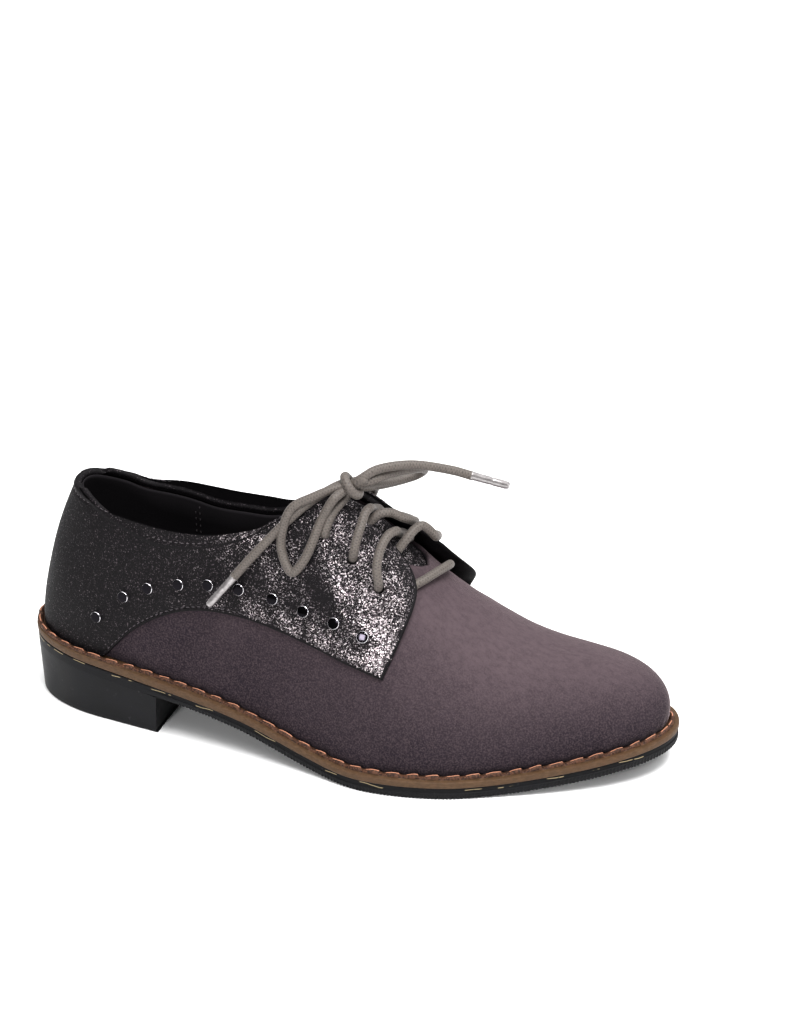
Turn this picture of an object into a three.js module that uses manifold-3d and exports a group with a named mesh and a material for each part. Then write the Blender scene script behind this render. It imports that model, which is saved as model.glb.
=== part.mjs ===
// A right derby shoe with a studded quarter, built as a shoemaker's pieces.
// Millimetres, +X to the toe, +Y to the inner (medial) side, +Z up, origin on the floor under the heel.
import * as THREE from "three";
import { mergeVertices } from "three/addons/utils/BufferGeometryUtils.js";
import Module from "manifold-3d";

const wasm = await Module();
wasm.setup();

// Driving sizes
const LENGTH = 270; // outsole, back of the heel to the toe tip
const BALL_WIDTH = 91; // outsole across the ball
const HEEL_HEIGHT = 22.6; // underside of the outsole at the back
const TOE_SPRING = 9.5; // underside of the outsole at the toe tip
const INSTEP_HEIGHT = 100; // top of the last's ridge where the facings end, above the floor
const HEEL_LENGTH = 66; // back of the heel to its breast, at the floor
const HEEL_TAPER = 0.5; // how far the heel's bottom edge lies inside the outsole
const BREAST_LEAN = 1.6; // how far the breast runs forward from floor to outsole
const HEEL_REST = 28; // back of the heel to the origin
const SOLE_THICK = 4;
const SOLE_EDGE = 0.5; // rounding of the outsole's and the heel's bottom edge
const SOLE_STEP = 0.5; // the upper layer of the outsole's edge is set back by this
const WELT_THICK = 3.4;
const WELT_PROUD = 0.2; // the welt's side stands out past the outsole's by this
const WELT_REACH = 4.4; // outsole edge to the upper's outer face
const BEAD_HEIGHT = 1.9;
const BEAD_WIDTH = 2.6;
const INSOLE_THICK = 2.5;
const UPPER_WALL = 1.4;
const QUARTER_WALL = 1.2;
const TONGUE_WALL = 1.4;
const TONGUE_DROP = 12; // how far the tongue's top falls back under the last's ridge
const FACING_LIFT = 0.8; // the facings' free front edge stands off by this much more
const STUD_WIDTH = 4.8;
const STUD_HEIGHT = 1.8;
const STUD_CHAMFER = 0.5;
const EYELET = 4.2; // punched hole
const LACE = 3.6;
const KNOT = 10.5; // knot, across
const AGLET_LENGTH = 15;
const AGLET_WIDTH = 3.3;
const GAP = 0.3;
const TONGUE_GAP = 0.9; // under the upper

// Steps of the meshes
const ROUND_STEPS = 72; // columns round the sole and the upper
const UPPER_ROWS = 9;
const QUARTER_COLUMNS = 22; // a side
const QUARTER_ROWS = 8;
const TONGUE_COLUMNS = 10;
const TONGUE_ROWS = 10;
const STUD_SIDES = 10;
const CORD_SIDES = 8;

// Tables: "along" is a share of LENGTH from the back of the heel, "up" is the way from the feather (0)
// over the wall to the last's ridge (1).
function table(names, lines) {
  return Object.fromEntries(names.split(" ").map((name, k) => [name, lines.map((line) => line[k])]));
}

// Half widths of the outsole as shares of BALL_WIDTH; the last row is the toe tip's sideways place.
const OUTLINE = table("along lateral medial", [
  [0, 0, 0],
  [0.03, 0.196, 0.196],
  [0.1, 0.305, 0.302],
  [0.2, 0.352, 0.322],
  [0.3, 0.385, 0.281],
  [0.4, 0.418, 0.293],
  [0.5, 0.468, 0.363],
  [0.6, 0.522, 0.451],
  [0.7, 0.482, 0.493],
  [0.8, 0.36, 0.484],
  [0.88, 0.245, 0.446],
  [0.95, 0.114, 0.363],
  [1, -0.13, 0.13],
]);

// The outsole's underside: shares of HEEL_HEIGHT and of TOE_SPRING, flat on the floor at the ball.
const UNDERSIDE = table("along heel toe", [
  [0, 1, 0],
  [0.1, 0.92, 0],
  [0.25, 0.745, 0],
  [0.33, 0.62, 0],
  [0.4, 0.455, 0],
  [0.45, 0.29, 0],
  [0.5, 0.128, 0],
  [0.55, 0.022, 0],
  [0.58, 0, 0],
  [0.72, 0, 0],
  [0.78, 0, 0.07],
  [0.84, 0, 0.27],
  [0.9, 0, 0.52],
  [0.95, 0, 0.77],
  [1, 0, 1],
]);

// The last's ridge: height as a share of INSTEP_HEIGHT, sideways place as a share of BALL_WIDTH.
// Behind the facings it lies above the collar, so only the wall under it is used there.
const RIDGE = table("along high side", [
  [0, 1.32, 0],
  [0.15, 1.34, 0],
  [0.3, 1.33, 0],
  [0.4, 1.28, 0],
  [0.46, 1.21, 0],
  [0.51, 1.115, 0],
  [0.55, 1.015, 0.005],
  [0.59, 0.905, 0.01],
  [0.63, 0.785, 0.02],
  [0.67, 0.685, 0.03],
  [0.71, 0.605, 0.045],
  [0.76, 0.52, 0.06],
  [0.81, 0.468, 0.08],
  [0.86, 0.445, 0.1],
  [0.91, 0.437, 0.115],
  [0.96, 0.427, 0.125],
  [1, 0.405, 0.13],
]);

// Cross-section of the wall: outward bulge, height of the wall's pull, flatness of the top.
const SECTION = table("along bulge wall flat", [
  [0, -0.04, 0.36, 0.4],
  [0.05, -0.04, 0.38, 0.43],
  [0.15, -0.02, 0.44, 0.52],
  [0.3, 0.02, 0.46, 0.5],
  [0.4, 0.02, 0.44, 0.42],
  [0.5, 0.02, 0.42, 0.36],
  [0.6, 0.03, 0.45, 0.42],
  [0.7, 0.05, 0.55, 0.53],
  [0.8, 0.08, 0.62, 0.62],
  [0.9, 0.1, 0.7, 0.7],
  [1, 0.11, 0.75, 0.78],
]);

// Top edge of the quarters from the back of the collar to the top of the facings, "up" on each side.
const COLLAR = table("along lateral medial", [
  [0, 0.488, 0.488],
  [0.03, 0.484, 0.466],
  [0.088, 0.452, 0.422],
  [0.128, 0.424, 0.39],
  [0.18, 0.394, 0.38],
  [0.228, 0.375, 0.376],
  [0.261, 0.375, 0.374],
  [0.309, 0.394, 0.388],
  [0.358, 0.438, 0.415],
  [0.396, 0.488, 0.47],
  [0.435, 0.575, 0.568],
  [0.47, 0.67, 0.66],
  [0.5, 0.75, 0.74],
  [0.526, 0.795, 0.795],
]);

// Lower edge of the quarters: at the feather round the heel, then over the arch to the front corner.
const ARCH = table("along lateral medial", [
  [0, 0, 0],
  [0.15, 0, 0],
  [0.172, 0.044, 0.044],
  [0.196, 0.094, 0.094],
  [0.233, 0.15, 0.15],
  [0.279, 0.2, 0.2],
  [0.321, 0.231, 0.231],
  [0.364, 0.252, 0.252],
  [0.41, 0.27, 0.27],
  [0.467, 0.292, 0.292],
  [0.52, 0.312, 0.312],
  [0.572, 0.333, 0.333],
  [0.617, 0.35, 0.35],
]);

// Front edge of the quarters, from the front corner up round the facing to its top.
const FACING = table("step along up", [
  [0, 0.617, 0.35],
  [0.2, 0.629, 0.47],
  [0.4, 0.637, 0.6],
  [0.55, 0.639, 0.7],
  [0.68, 0.634, 0.78],
  [0.78, 0.618, 0.835],
  [0.87, 0.59, 0.852],
  [0.94, 0.556, 0.848],
  [0.98, 0.535, 0.825],
  [1, 0.526, 0.795],
]);
const MEDIAL_FACING_SHIFT = 0.022; // the inner facing lies this share of LENGTH further forward

// Top edge of the grey upper under the quarters, closing over the ridge at the throat.
const UPPER_EDGE = table("along lateral medial", [
  [0, 0.468, 0.468],
  [0.088, 0.432, 0.404],
  [0.18, 0.376, 0.362],
  [0.245, 0.358, 0.357],
  [0.309, 0.376, 0.366],
  [0.358, 0.42, 0.388],
  [0.396, 0.468, 0.43],
  [0.435, 0.55, 0.5],
  [0.47, 0.64, 0.59],
  [0.51, 0.72, 0.69],
  [0.56, 0.77, 0.77],
  [0.595, 0.82, 0.82],
  [0.615, 0.9, 0.9],
  [0.63, 1, 1],
]);

// Places on the quarters: share along, share up.
const STUD_PLACES = table("along up", [
  [0.142, 0.119],
  [0.19, 0.2],
  [0.233, 0.244],
  [0.286, 0.281],
  [0.335, 0.309],
  [0.385, 0.334],
  [0.438, 0.36],
  [0.486, 0.383],
  [0.533, 0.415],
  [0.578, 0.442],
]);
const EYELET_PLACES = table("along up", [
  [0.507, 0.65],
  [0.548, 0.65],
  [0.591, 0.64],
]);

// Cubic through a table's rows, with each row's slope the mean of its neighbours'.
function through(xs, ys, x) {
  const last = xs.length - 1;
  const at = Math.min(Math.max(x, xs[0]), xs[last]);
  let k = 0;
  while (k < last - 1 && at > xs[k + 1]) k += 1;
  const step = (i) => (ys[i + 1] - ys[i]) / (xs[i + 1] - xs[i]);
  const slope = (i) => {
    if (i === 0) return step(0);
    if (i === last) return step(last - 1);
    return (step(i - 1) + step(i)) / 2;
  };
  const h = xs[k + 1] - xs[k];
  const s = (at - xs[k]) / h;
  return (
    (2 * s ** 3 - 3 * s ** 2 + 1) * ys[k] +
    (s ** 3 - 2 * s ** 2 + s) * h * slope(k) +
    (3 * s ** 2 - 2 * s ** 3) * ys[k + 1] +
    (s ** 3 - s ** 2) * h * slope(k + 1)
  );
}

// The sole's outline as a turn: 0 at the back of the heel, PI at the toe tip, the lateral side first.
const turnAt = (along) => Math.acos(1 - 2 * along);
const alongAt = (turn) => (1 - Math.cos(turn)) / 2;
const lateralTurns = OUTLINE.along.map(turnAt);
const medialTurns = lateralTurns.map((turn) => 2 * Math.PI - turn).reverse();
const roundTurns = [...lateralTurns, ...medialTurns.slice(1)];
const roundSides = [...OUTLINE.lateral.map((w) => -w), ...[...OUTLINE.medial].reverse().slice(1)];
const wrapRows = 2;
const wrappedTurns = [
  ...roundTurns.slice(-1 - wrapRows, -1).map((turn) => turn - 2 * Math.PI),
  ...roundTurns,
  ...roundTurns.slice(1, 1 + wrapRows).map((turn) => turn + 2 * Math.PI),
];
const wrappedSides = [
  ...roundSides.slice(-1 - wrapRows, -1),
  ...roundSides,
  ...roundSides.slice(1, 1 + wrapRows),
];

function soleEdge(turn) {
  return new THREE.Vector2(LENGTH * alongAt(turn), BALL_WIDTH * through(wrappedTurns, wrappedSides, turn));
}

// A point of the outline moved inward by a distance.
function insideEdge(turn, distance) {
  const small = 1e-3;
  const way = soleEdge(turn + small).sub(soleEdge(turn - small)).normalize();
  const edge = soleEdge(turn);
  return new THREE.Vector2(edge.x - way.y * distance, edge.y + way.x * distance);
}

function underside(x) {
  const heel = HEEL_HEIGHT * through(UNDERSIDE.along, UNDERSIDE.heel, x / LENGTH);
  const toe = TOE_SPRING * through(UNDERSIDE.along, UNDERSIDE.toe, x / LENGTH);
  return Math.max(0, heel) + Math.max(0, toe);
}
const weltBottom = (x) => underside(x) + SOLE_THICK + GAP;
const weltTop = (x) => weltBottom(x) + WELT_THICK;
const feather = (x) => weltTop(x) + GAP;
const ridgeHeight = (x) => INSTEP_HEIGHT * through(RIDGE.along, RIDGE.high, x / LENGTH);
const ridgeSide = (x) => BALL_WIDTH * through(RIDGE.along, RIDGE.side, x / LENGTH);

// Where the wall that starts at a station ends on the ridge: straight across in the middle,
// drawn in towards a pole over the heel and another over the toe.
const HEEL_FAN = 0.444 * LENGTH;
const TOE_FAN = 0.62 * LENGTH;
function ridgeStation(x) {
  const heelPull = Math.max(0, HEEL_FAN - x) ** 2 / (2 * HEEL_FAN);
  const toePull = Math.max(0, x - TOE_FAN) ** 2 / (2 * (LENGTH - TOE_FAN));
  return x + heelPull - toePull;
}

// The last's surface: a cubic from the feather, out by the bulge and up the wall, over to the ridge.
function lastPoint(turn, up) {
  const along = alongAt(turn);
  const foot = insideEdge(turn, WELT_REACH);
  const station = ridgeStation(along * LENGTH);
  const bulge = through(SECTION.along, SECTION.bulge, along);
  const wall = through(SECTION.along, SECTION.wall, along);
  const flat = through(SECTION.along, SECTION.flat, along);
  const rest = 1 - up;
  const out = rest ** 3 + 3 * rest ** 2 * up * (1 + bulge) + 3 * rest * up ** 2 * flat;
  const high = 3 * rest ** 2 * up * wall + 3 * rest * up ** 2 + up ** 3;
  const x = station + (foot.x - station) * out;
  const y = ridgeSide(station) + (foot.y - ridgeSide(station)) * out;
  return new THREE.Vector3(x, y, feather(foot.x) * (1 - high) + ridgeHeight(x) * high);
}

function lastNormal(turn, up) {
  const small = 2e-3;
  if (up > 1 - small) {
    const x = lastPoint(turn, 1).x;
    return new THREE.Vector3(ridgeHeight(x - 1) - ridgeHeight(x + 1), 0, 2).normalize();
  }
  const low = Math.max(up - small, 0);
  const along = lastPoint(turn + small, up).sub(lastPoint(turn - small, up));
  const over = lastPoint(turn, up + small).sub(lastPoint(turn, low));
  return along.cross(over).normalize();
}

// The last's surface moved outward by a distance, which is how every overlay and lining is made.
function skin(turn, up, lift) {
  return lastPoint(turn, up).addScaledVector(lastNormal(turn, up), lift);
}
const sideTurn = (side, along) => (side === "lateral" ? turnAt(along) : 2 * Math.PI - turnAt(along));

// Meshes from quads and triangles
class Faces {
  constructor() {
    this.corners = [];
  }
  triangle(a, b, c) {
    this.corners.push(a, b, c);
  }
  quad(a, b, c, d) {
    this.triangle(a, b, c);
    this.triangle(a, c, d);
  }
  geometry() {
    const flat = new Float32Array(this.corners.flatMap((p) => [p.x, p.y, p.z]));
    return new THREE.BufferGeometry().setAttribute("position", new THREE.BufferAttribute(flat, 3));
  }
}

// A closed wall between an outer and an inner grid; ring joins the last column to the first, and
// openAt says in which columns the top edge is free rather than joined over the ridge.
function wallSolid(outer, inner, { ring, openAt }) {
  const faces = new Faces();
  const columns = outer.length;
  const rows = outer[0].length - 1;
  const spans = ring ? columns : columns - 1;
  for (let i = 0; i < spans; i += 1) {
    const n = (i + 1) % columns;
    for (let j = 0; j < rows; j += 1) {
      faces.quad(outer[i][j], outer[n][j], outer[n][j + 1], outer[i][j + 1]);
      faces.quad(inner[i][j], inner[i][j + 1], inner[n][j + 1], inner[n][j]);
    }
    faces.quad(outer[i][0], inner[i][0], inner[n][0], outer[n][0]);
    if (openAt(i) || openAt(n)) faces.quad(outer[i][rows], outer[n][rows], inner[n][rows], inner[i][rows]);
  }
  if (!ring) {
    const end = columns - 1;
    for (let j = 0; j < rows; j += 1) {
      faces.quad(outer[0][j], outer[0][j + 1], inner[0][j + 1], inner[0][j]);
      faces.quad(outer[end][j], inner[end][j], inner[end][j + 1], outer[end][j + 1]);
    }
  }
  return faces.geometry();
}

// A plate lofted through levels round the sole, each inset from the outline, closed flat across.
function plateSolid(levels) {
  const faces = new Faces();
  const rings = levels.map(({ inset, height }) =>
    Array.from({ length: ROUND_STEPS }, (_, i) => {
      const turn = (2 * Math.PI * i) / ROUND_STEPS;
      const p = insideEdge(turn, typeof inset === "number" ? inset : inset(alongAt(turn)));
      return new THREE.Vector3(p.x, p.y, height(p.x));
    }),
  );
  for (let k = 0; k < rings.length - 1; k += 1)
    for (let i = 0; i < ROUND_STEPS; i += 1) {
      const n = (i + 1) % ROUND_STEPS;
      faces.quad(rings[k][i], rings[k][n], rings[k + 1][n], rings[k + 1][i]);
    }
  const half = ROUND_STEPS / 2;
  const across = (ring, i) => ring[(ROUND_STEPS - i) % ROUND_STEPS];
  const floor = rings[0];
  const roof = rings[rings.length - 1];
  for (let i = 0; i < half; i += 1) {
    if (i > 0) {
      faces.triangle(floor[i], across(floor, i), across(floor, i + 1));
      faces.triangle(roof[i], across(roof, i + 1), across(roof, i));
    }
    if (i + 1 < half) {
      faces.triangle(floor[i], across(floor, i + 1), floor[i + 1]);
      faces.triangle(roof[i], roof[i + 1], across(roof, i + 1));
    }
  }
  return faces.geometry();
}

// Joins and cuts
function toManifold(geometry) {
  const loose = geometry.index ? geometry.toNonIndexed() : geometry;
  const bare = new THREE.BufferGeometry().setAttribute("position", loose.attributes.position);
  const merged = mergeVertices(bare, 1e-3);
  return new wasm.Manifold(
    new wasm.Mesh({
      numProp: 3,
      vertProperties: merged.attributes.position.array,
      triVerts: new Uint32Array(merged.index.array),
    }),
  );
}

function fromManifold(made) {
  const mesh = made.getMesh();
  const geometry = new THREE.BufferGeometry();
  geometry.setAttribute("position", new THREE.BufferAttribute(mesh.vertProperties, 3));
  geometry.setIndex(new THREE.BufferAttribute(mesh.triVerts, 1));
  return geometry.toNonIndexed();
}

const cut = (body, tools) =>
  fromManifold(tools.reduce((left, tool) => left.subtract(toManifold(tool)), toManifold(body)));
const join = (pieces) => fromManifold(pieces.map(toManifold).reduce((a, b) => a.add(b)));

// A round cord along a smooth curve through points.
function cordGeometry(points, width, steps) {
  const section = new THREE.Shape();
  for (let k = 0; k < CORD_SIDES; k += 1) {
    const angle = (2 * Math.PI * k) / CORD_SIDES;
    const x = (width / 2) * Math.cos(angle);
    const y = (width / 2) * Math.sin(angle);
    if (k === 0) section.moveTo(x, y);
    else section.lineTo(x, y);
  }
  const extrudePath = new THREE.CatmullRomCurve3(points, false, "centripetal");
  return new THREE.ExtrudeGeometry(section, { steps, extrudePath });
}

// A round piece with its foot on the skin, standing along the skin's normal.
function standOn(geometry, side, along, up, lift) {
  const turn = sideTurn(side, along);
  const place = skin(turn, up, lift);
  const upright = new THREE.Quaternion().setFromUnitVectors(new THREE.Vector3(0, 1, 0), lastNormal(turn, up));
  return { geometry, place, upright };
}

// Materials
const suede = new THREE.MeshStandardMaterial({ color: 0x62565d, roughness: 0.95, metalness: 0 });
const foil = new THREE.MeshStandardMaterial({ color: 0x2a262a, roughness: 0.45, metalness: 0.4 });
const rubber = new THREE.MeshStandardMaterial({ color: 0x28282c, roughness: 0.6, metalness: 0 });
const weltLeather = new THREE.MeshStandardMaterial({ color: 0x695037, roughness: 0.75, metalness: 0 });
const board = new THREE.MeshStandardMaterial({ color: 0x161418, roughness: 0.9, metalness: 0 });
const cord = new THREE.MeshStandardMaterial({ color: 0x736c66, roughness: 0.7, metalness: 0 });
const chrome = new THREE.MeshStandardMaterial({ color: 0x303034, roughness: 0.12, metalness: 1 });
const clearTip = new THREE.MeshStandardMaterial({ color: 0x9a9896, roughness: 0.25, metalness: 0.2 });

const shoe = new THREE.Group();
shoe.position.x = -HEEL_REST;
function add(name, geometry, material) {
  const mesh = new THREE.Mesh(geometry, material);
  mesh.name = name;
  shoe.add(mesh);
  return mesh;
}

// Outsole: rounded bottom edge, a step half way up its side
const STEP_LOW = 0.6; // share of the thickness where the side starts to step back
const STEP_HIGH = 0.66;
add(
  "outsole",
  plateSolid([
    { inset: SOLE_EDGE, height: underside },
    { inset: 0, height: (x) => underside(x) + SOLE_EDGE },
    { inset: 0, height: (x) => underside(x) + SOLE_THICK * STEP_LOW },
    { inset: SOLE_STEP, height: (x) => underside(x) + SOLE_THICK * STEP_HIGH },
    { inset: SOLE_STEP, height: (x) => underside(x) + SOLE_THICK },
  ]),
  rubber,
);

// Heel: a block under the outsole, cut off at the breast
function heelGeometry() {
  const block = plateSolid([
    { inset: HEEL_TAPER + SOLE_EDGE, height: () => 0 },
    { inset: HEEL_TAPER, height: () => SOLE_EDGE },
    { inset: 0, height: (x) => Math.max(underside(x) - GAP, 2 * SOLE_EDGE) },
  ]);
  const lean = Math.atan2(BREAST_LEAN, HEEL_HEIGHT);
  const front = new THREE.BoxGeometry(LENGTH, 2 * BALL_WIDTH, 4 * HEEL_HEIGHT);
  front.translate(LENGTH / 2, 0, 0);
  front.rotateY(lean);
  front.translate(HEEL_LENGTH, 0, 0);
  return cut(block, [front]);
}
add("heel", heelGeometry(), rubber);

// Welt: a band as wide as the outsole with a stitched bead, nearer the edge where the quarters go down
const QUARTER_OUT = GAP + QUARTER_WALL;
const BEAD_SHIFT = [0.16, 0.24]; // from along to along the bead moves back in under the grey upper
function beadInside(along) {
  const share = THREE.MathUtils.smoothstep(along, ...BEAD_SHIFT);
  return WELT_REACH - GAP - QUARTER_OUT * (1 - share);
}
// The bead's cross-section: share of its width from its outer foot, share of its height.
const BEAD = table("inward high", [
  [0, 0],
  [0.3, 0.85],
  [0.55, 1],
  [0.75, 0.8],
  [1, 0],
]);
const LEAST_INSET = 0.1;
add(
  "welt",
  plateSolid([
    { inset: SOLE_STEP, height: weltBottom },
    { inset: -WELT_PROUD, height: (x) => weltBottom(x) + WELT_THICK * 0.3 },
    { inset: -WELT_PROUD, height: (x) => weltBottom(x) + WELT_THICK * 0.75 },
    ...BEAD.inward.map((inward, k) => ({
      inset: (along) => Math.max(beadInside(along) - BEAD_WIDTH * (1 - inward), LEAST_INSET),
      height: (x) => weltTop(x) + BEAD_HEIGHT * BEAD.high[k],
    })),
  ]),
  weltLeather,
);

// Insole: inside the upper's wall
const insoleInset = WELT_REACH + UPPER_WALL + 3 * GAP;
add(
  "insole",
  plateSolid([
    { inset: insoleInset, height: feather },
    { inset: insoleInset, height: (x) => feather(x) + INSOLE_THICK },
  ]),
  board,
);

// Eyelet holes, as round cutters through the facing and what is under it
function eyeletCutters() {
  const cutters = [];
  for (const side of ["lateral", "medial"])
    EYELET_PLACES.along.forEach((along, k) => {
      const depth = 4 * (UPPER_WALL + QUARTER_OUT);
      const round = new THREE.CylinderGeometry(EYELET / 2, EYELET / 2, depth, 12);
      const { place, upright } = standOn(round, side, along + eyeletShift(side), EYELET_PLACES.up[k], 0);
      round.applyQuaternion(upright).translate(place.x, place.y, place.z);
      cutters.push(round);
    });
  return cutters;
}
const eyeletShift = (side) => (side === "medial" ? MEDIAL_FACING_SHIFT / 2 : 0);

// Upper: one wall over the whole last, open under the foot, at the collar and down to the throat
const THROAT = [0.54, 0.66]; // here the upper has closer columns, from along to along
function upperTurns() {
  const step = (2 * Math.PI) / ROUND_STEPS;
  const side = [];
  for (let i = 0; i < ROUND_STEPS / 2; i += 1) {
    const along = alongAt(i * step);
    const parts = along > THROAT[0] && along < THROAT[1] ? 3 : 1;
    for (let k = 0; k < parts; k += 1) side.push((i + k / parts) * step);
  }
  const back = side.slice(1).map((turn) => 2 * Math.PI - turn);
  return [...side, Math.PI, ...back.reverse()];
}

function upperGeometry() {
  const turns = upperTurns();
  const topAt = (turn) =>
    Math.min(1, through(UPPER_EDGE.along, turn < Math.PI ? UPPER_EDGE.lateral : UPPER_EDGE.medial, alongAt(turn)));
  const grid = (lift) =>
    turns.map((turn) =>
      Array.from({ length: UPPER_ROWS + 1 }, (_, j) => skin(turn, (topAt(turn) * j) / UPPER_ROWS, lift)),
    );
  const openAt = (i) => topAt(turns[i]) < 1;
  return cut(wallSolid(grid(0), grid(-UPPER_WALL), { ring: true, openAt }), eyeletCutters());
}
add("upper", upperGeometry(), suede);

// Quarters: one overlay round the heel, its patch blended between its four edges on the last
function quarterPlace(side, across, rise) {
  const shift = side === "medial" ? MEDIAL_FACING_SHIFT : 0;
  const lastLow = ARCH.along[ARCH.along.length - 1] + shift;
  const lastHigh = COLLAR.along[COLLAR.along.length - 1] + shift;
  const stretch = (edge, end) => {
    const turn = turnAt(end) * across;
    const along = (alongAt(turn) * edge.along[edge.along.length - 1]) / end;
    return [turn, Math.max(0, through(edge.along, edge[side], along))];
  };
  const low = stretch(ARCH, lastLow);
  const high = stretch(COLLAR, lastHigh);
  const front = [
    turnAt(through(FACING.step, FACING.along, rise) + shift),
    through(FACING.step, FACING.up, rise),
  ];
  const backHigh = [0, COLLAR[side][0]];
  const cornerLow = [turnAt(lastLow), FACING.up[0]];
  const cornerHigh = [turnAt(lastHigh), FACING.up[FACING.up.length - 1]];
  const blend = (k) =>
    (1 - rise) * low[k] +
    rise * high[k] +
    (1 - across) * rise * backHigh[k] +
    across * front[k] -
    ((1 - across) * rise * backHigh[k] + across * (1 - rise) * cornerLow[k] + across * rise * cornerHigh[k]);
  return { turn: side === "medial" ? 2 * Math.PI - blend(0) : blend(0), up: blend(1) };
}

function quarterGeometry() {
  const grid = (lift) =>
    Array.from({ length: 2 * QUARTER_COLUMNS + 1 }, (_, i) => {
      const share = (i - QUARTER_COLUMNS) / QUARTER_COLUMNS;
      const across = Math.sin((Math.PI / 2) * Math.abs(share));
      const side = share < 0 ? "medial" : "lateral";
      return Array.from({ length: QUARTER_ROWS + 1 }, (_, j) => {
        const rise = j / QUARTER_ROWS;
        const { turn, up } = quarterPlace(side, across, rise);
        const free = FACING_LIFT * across ** 8 * rise ** 2;
        return skin(turn, up, lift + free);
      });
    });
  const made = wallSolid(grid(QUARTER_OUT), grid(GAP), { ring: false, openAt: () => true });
  return cut(made, eyeletCutters());
}
add("quarters", quarterGeometry(), foil);

// Tongue: under the facings, its rounded top fallen back from the last's ridge
const TONGUE_FRONT = 0.66;
const TONGUE_TOP = 0.487;
const TONGUE_SPREAD = 0.4; // of the way down the wall, to each side
function tongueGeometry() {
  const lift = -(UPPER_WALL + TONGUE_GAP);
  const grid = (more) =>
    Array.from({ length: TONGUE_COLUMNS + 1 }, (_, i) => {
      const share = (2 * i) / TONGUE_COLUMNS - 1;
      return Array.from({ length: TONGUE_ROWS + 1 }, (_, j) => {
        const rise = j / TONGUE_ROWS;
        const along = THREE.MathUtils.lerp(TONGUE_FRONT, TONGUE_TOP, rise);
        const round = Math.sqrt(1 - 0.8 * Math.max(0, (rise - 0.8) / 0.2) ** 2);
        const up = 1 - Math.abs(share) * TONGUE_SPREAD * round;
        const fall = TONGUE_DROP * Math.max(0, (rise - 0.45) / 0.55) ** 2;
        return skin(sideTurn(share < 0 ? "lateral" : "medial", along), up, lift - fall - more);
      });
    });
  return wallSolid(grid(0), grid(TONGUE_WALL), { ring: false, openAt: () => true });
}
add("tongue", tongueGeometry(), foil);

// Studs: a flat round button in a row along each quarter's lower edge
function studGeometry() {
  const r = STUD_WIDTH / 2;
  const profile = [
    [0, 0],
    [r, 0],
    [r, STUD_HEIGHT - STUD_CHAMFER],
    [r - STUD_CHAMFER, STUD_HEIGHT],
    [0, STUD_HEIGHT],
  ];
  return new THREE.LatheGeometry(
    profile.map(([x, y]) => new THREE.Vector2(x, y)),
    STUD_SIDES,
  );
}
for (const side of ["lateral", "medial"])
  STUD_PLACES.along.forEach((along, k) => {
    const { geometry, place, upright } = standOn(
      studGeometry(),
      side,
      along,
      STUD_PLACES.up[k],
      QUARTER_OUT + GAP,
    );
    const stud = add(`stud_${side}_${String(k + 1).padStart(2, "0")}`, geometry, chrome);
    stud.position.copy(place);
    stud.quaternion.copy(upright);
  });

// Lace over the facings: each strand is a list of places on the last, with its height over it
const LACE_LIFT = QUARTER_OUT + FACING_LIFT + GAP + LACE / 2;
const strand = (places) =>
  places.map(([side, along, up, more]) => skin(sideTurn(side, along), up, LACE_LIFT + more));

const LOWER_CROSS = [
  [
    ["lateral", 0.591, 0.655, 0.2],
    ["lateral", 0.58, 0.71, 0.8],
    ["lateral", 0.58, 0.79, 0.4],
    ["lateral", 0.586, 0.9, 0.2],
    ["medial", 0.6, 0.93, -0.6],
  ],
  [
    ["medial", 0.602, 0.655, 0.2],
    ["medial", 0.6, 0.72, 0.8],
    ["medial", 0.594, 0.82, 0.8],
    ["medial", 0.584, 0.95, 0.2],
    ["lateral", 0.584, 0.93, 0],
  ],
];
const UPPER_CROSS = [
  [
    ["lateral", 0.548, 0.665, 0.2],
    ["lateral", 0.546, 0.74, 0.4],
    ["lateral", 0.55, 0.85, 0.3],
    ["medial", 0.556, 0.97, -0.4],
  ],
  [
    ["medial", 0.559, 0.665, 0.2],
    ["medial", 0.556, 0.74, 0.8],
    ["medial", 0.548, 0.86, 0.6],
    ["lateral", 0.544, 0.96, 0],
  ],
];
const STRAND_STEPS = 10;
const crossing = (strands) => join(strands.map((places) => cordGeometry(strand(places), LACE, STRAND_STEPS)));
add("lace_cross_lower", crossing(LOWER_CROSS), cord);
add("lace_cross_upper", crossing(UPPER_CROSS), cord);

// Lowest bar: straight over the vamp between the facings' edges
const BAR = [
  ["lateral", 0.652, 0.86],
  ["lateral", 0.654, 0.93],
  ["medial", 0.658, 1],
  ["medial", 0.668, 0.9],
];
add(
  "lace_bar",
  cordGeometry(
    BAR.map(([side, along, up]) => skin(sideTurn(side, along), up, GAP + LACE / 2)),
    LACE,
    STRAND_STEPS,
  ),
  cord,
);

// Cords of the bow: hand-chosen routes from the back of the heel, repeated in the Blender scene
const vectors = (route) => route.map(([x, y, z]) => new THREE.Vector3(x, y, z));
const KNOT_AT = [145.5, -8, 112];
const TIE_LATERAL = [
  [138, -20.5, 95.5],
  [140, -16, 102.5],
  [143, -10, 106.8],
];
const TIE_MEDIAL = [
  [145.6, 19.6, 94.4],
  [147.5, 11, 103.6],
  [146.4, -2.5, 110.6],
];
const LOOP_LATERAL = [
  [140.6, -11.5, 111.2],
  [133, -16, 108.5],
  [124, -21.5, 102.5],
  [121.5, -25.5, 94],
  [122.5, -28.5, 86],
  [127, -31, 80],
  [131, -28.5, 85],
  [133.5, -24, 94],
  [136, -19.5, 101.5],
  [140.5, -17, 109.3],
  [142.6, -13.2, 110.4],
];
const LOOP_MEDIAL = [
  [150.8, -4.5, 114.2],
  [158, 6, 113],
  [168, 12, 112],
  [172, 18, 109],
  [166, 21, 107],
  [157, 14, 108.5],
  [150.8, -2.6, 110],
];
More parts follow.
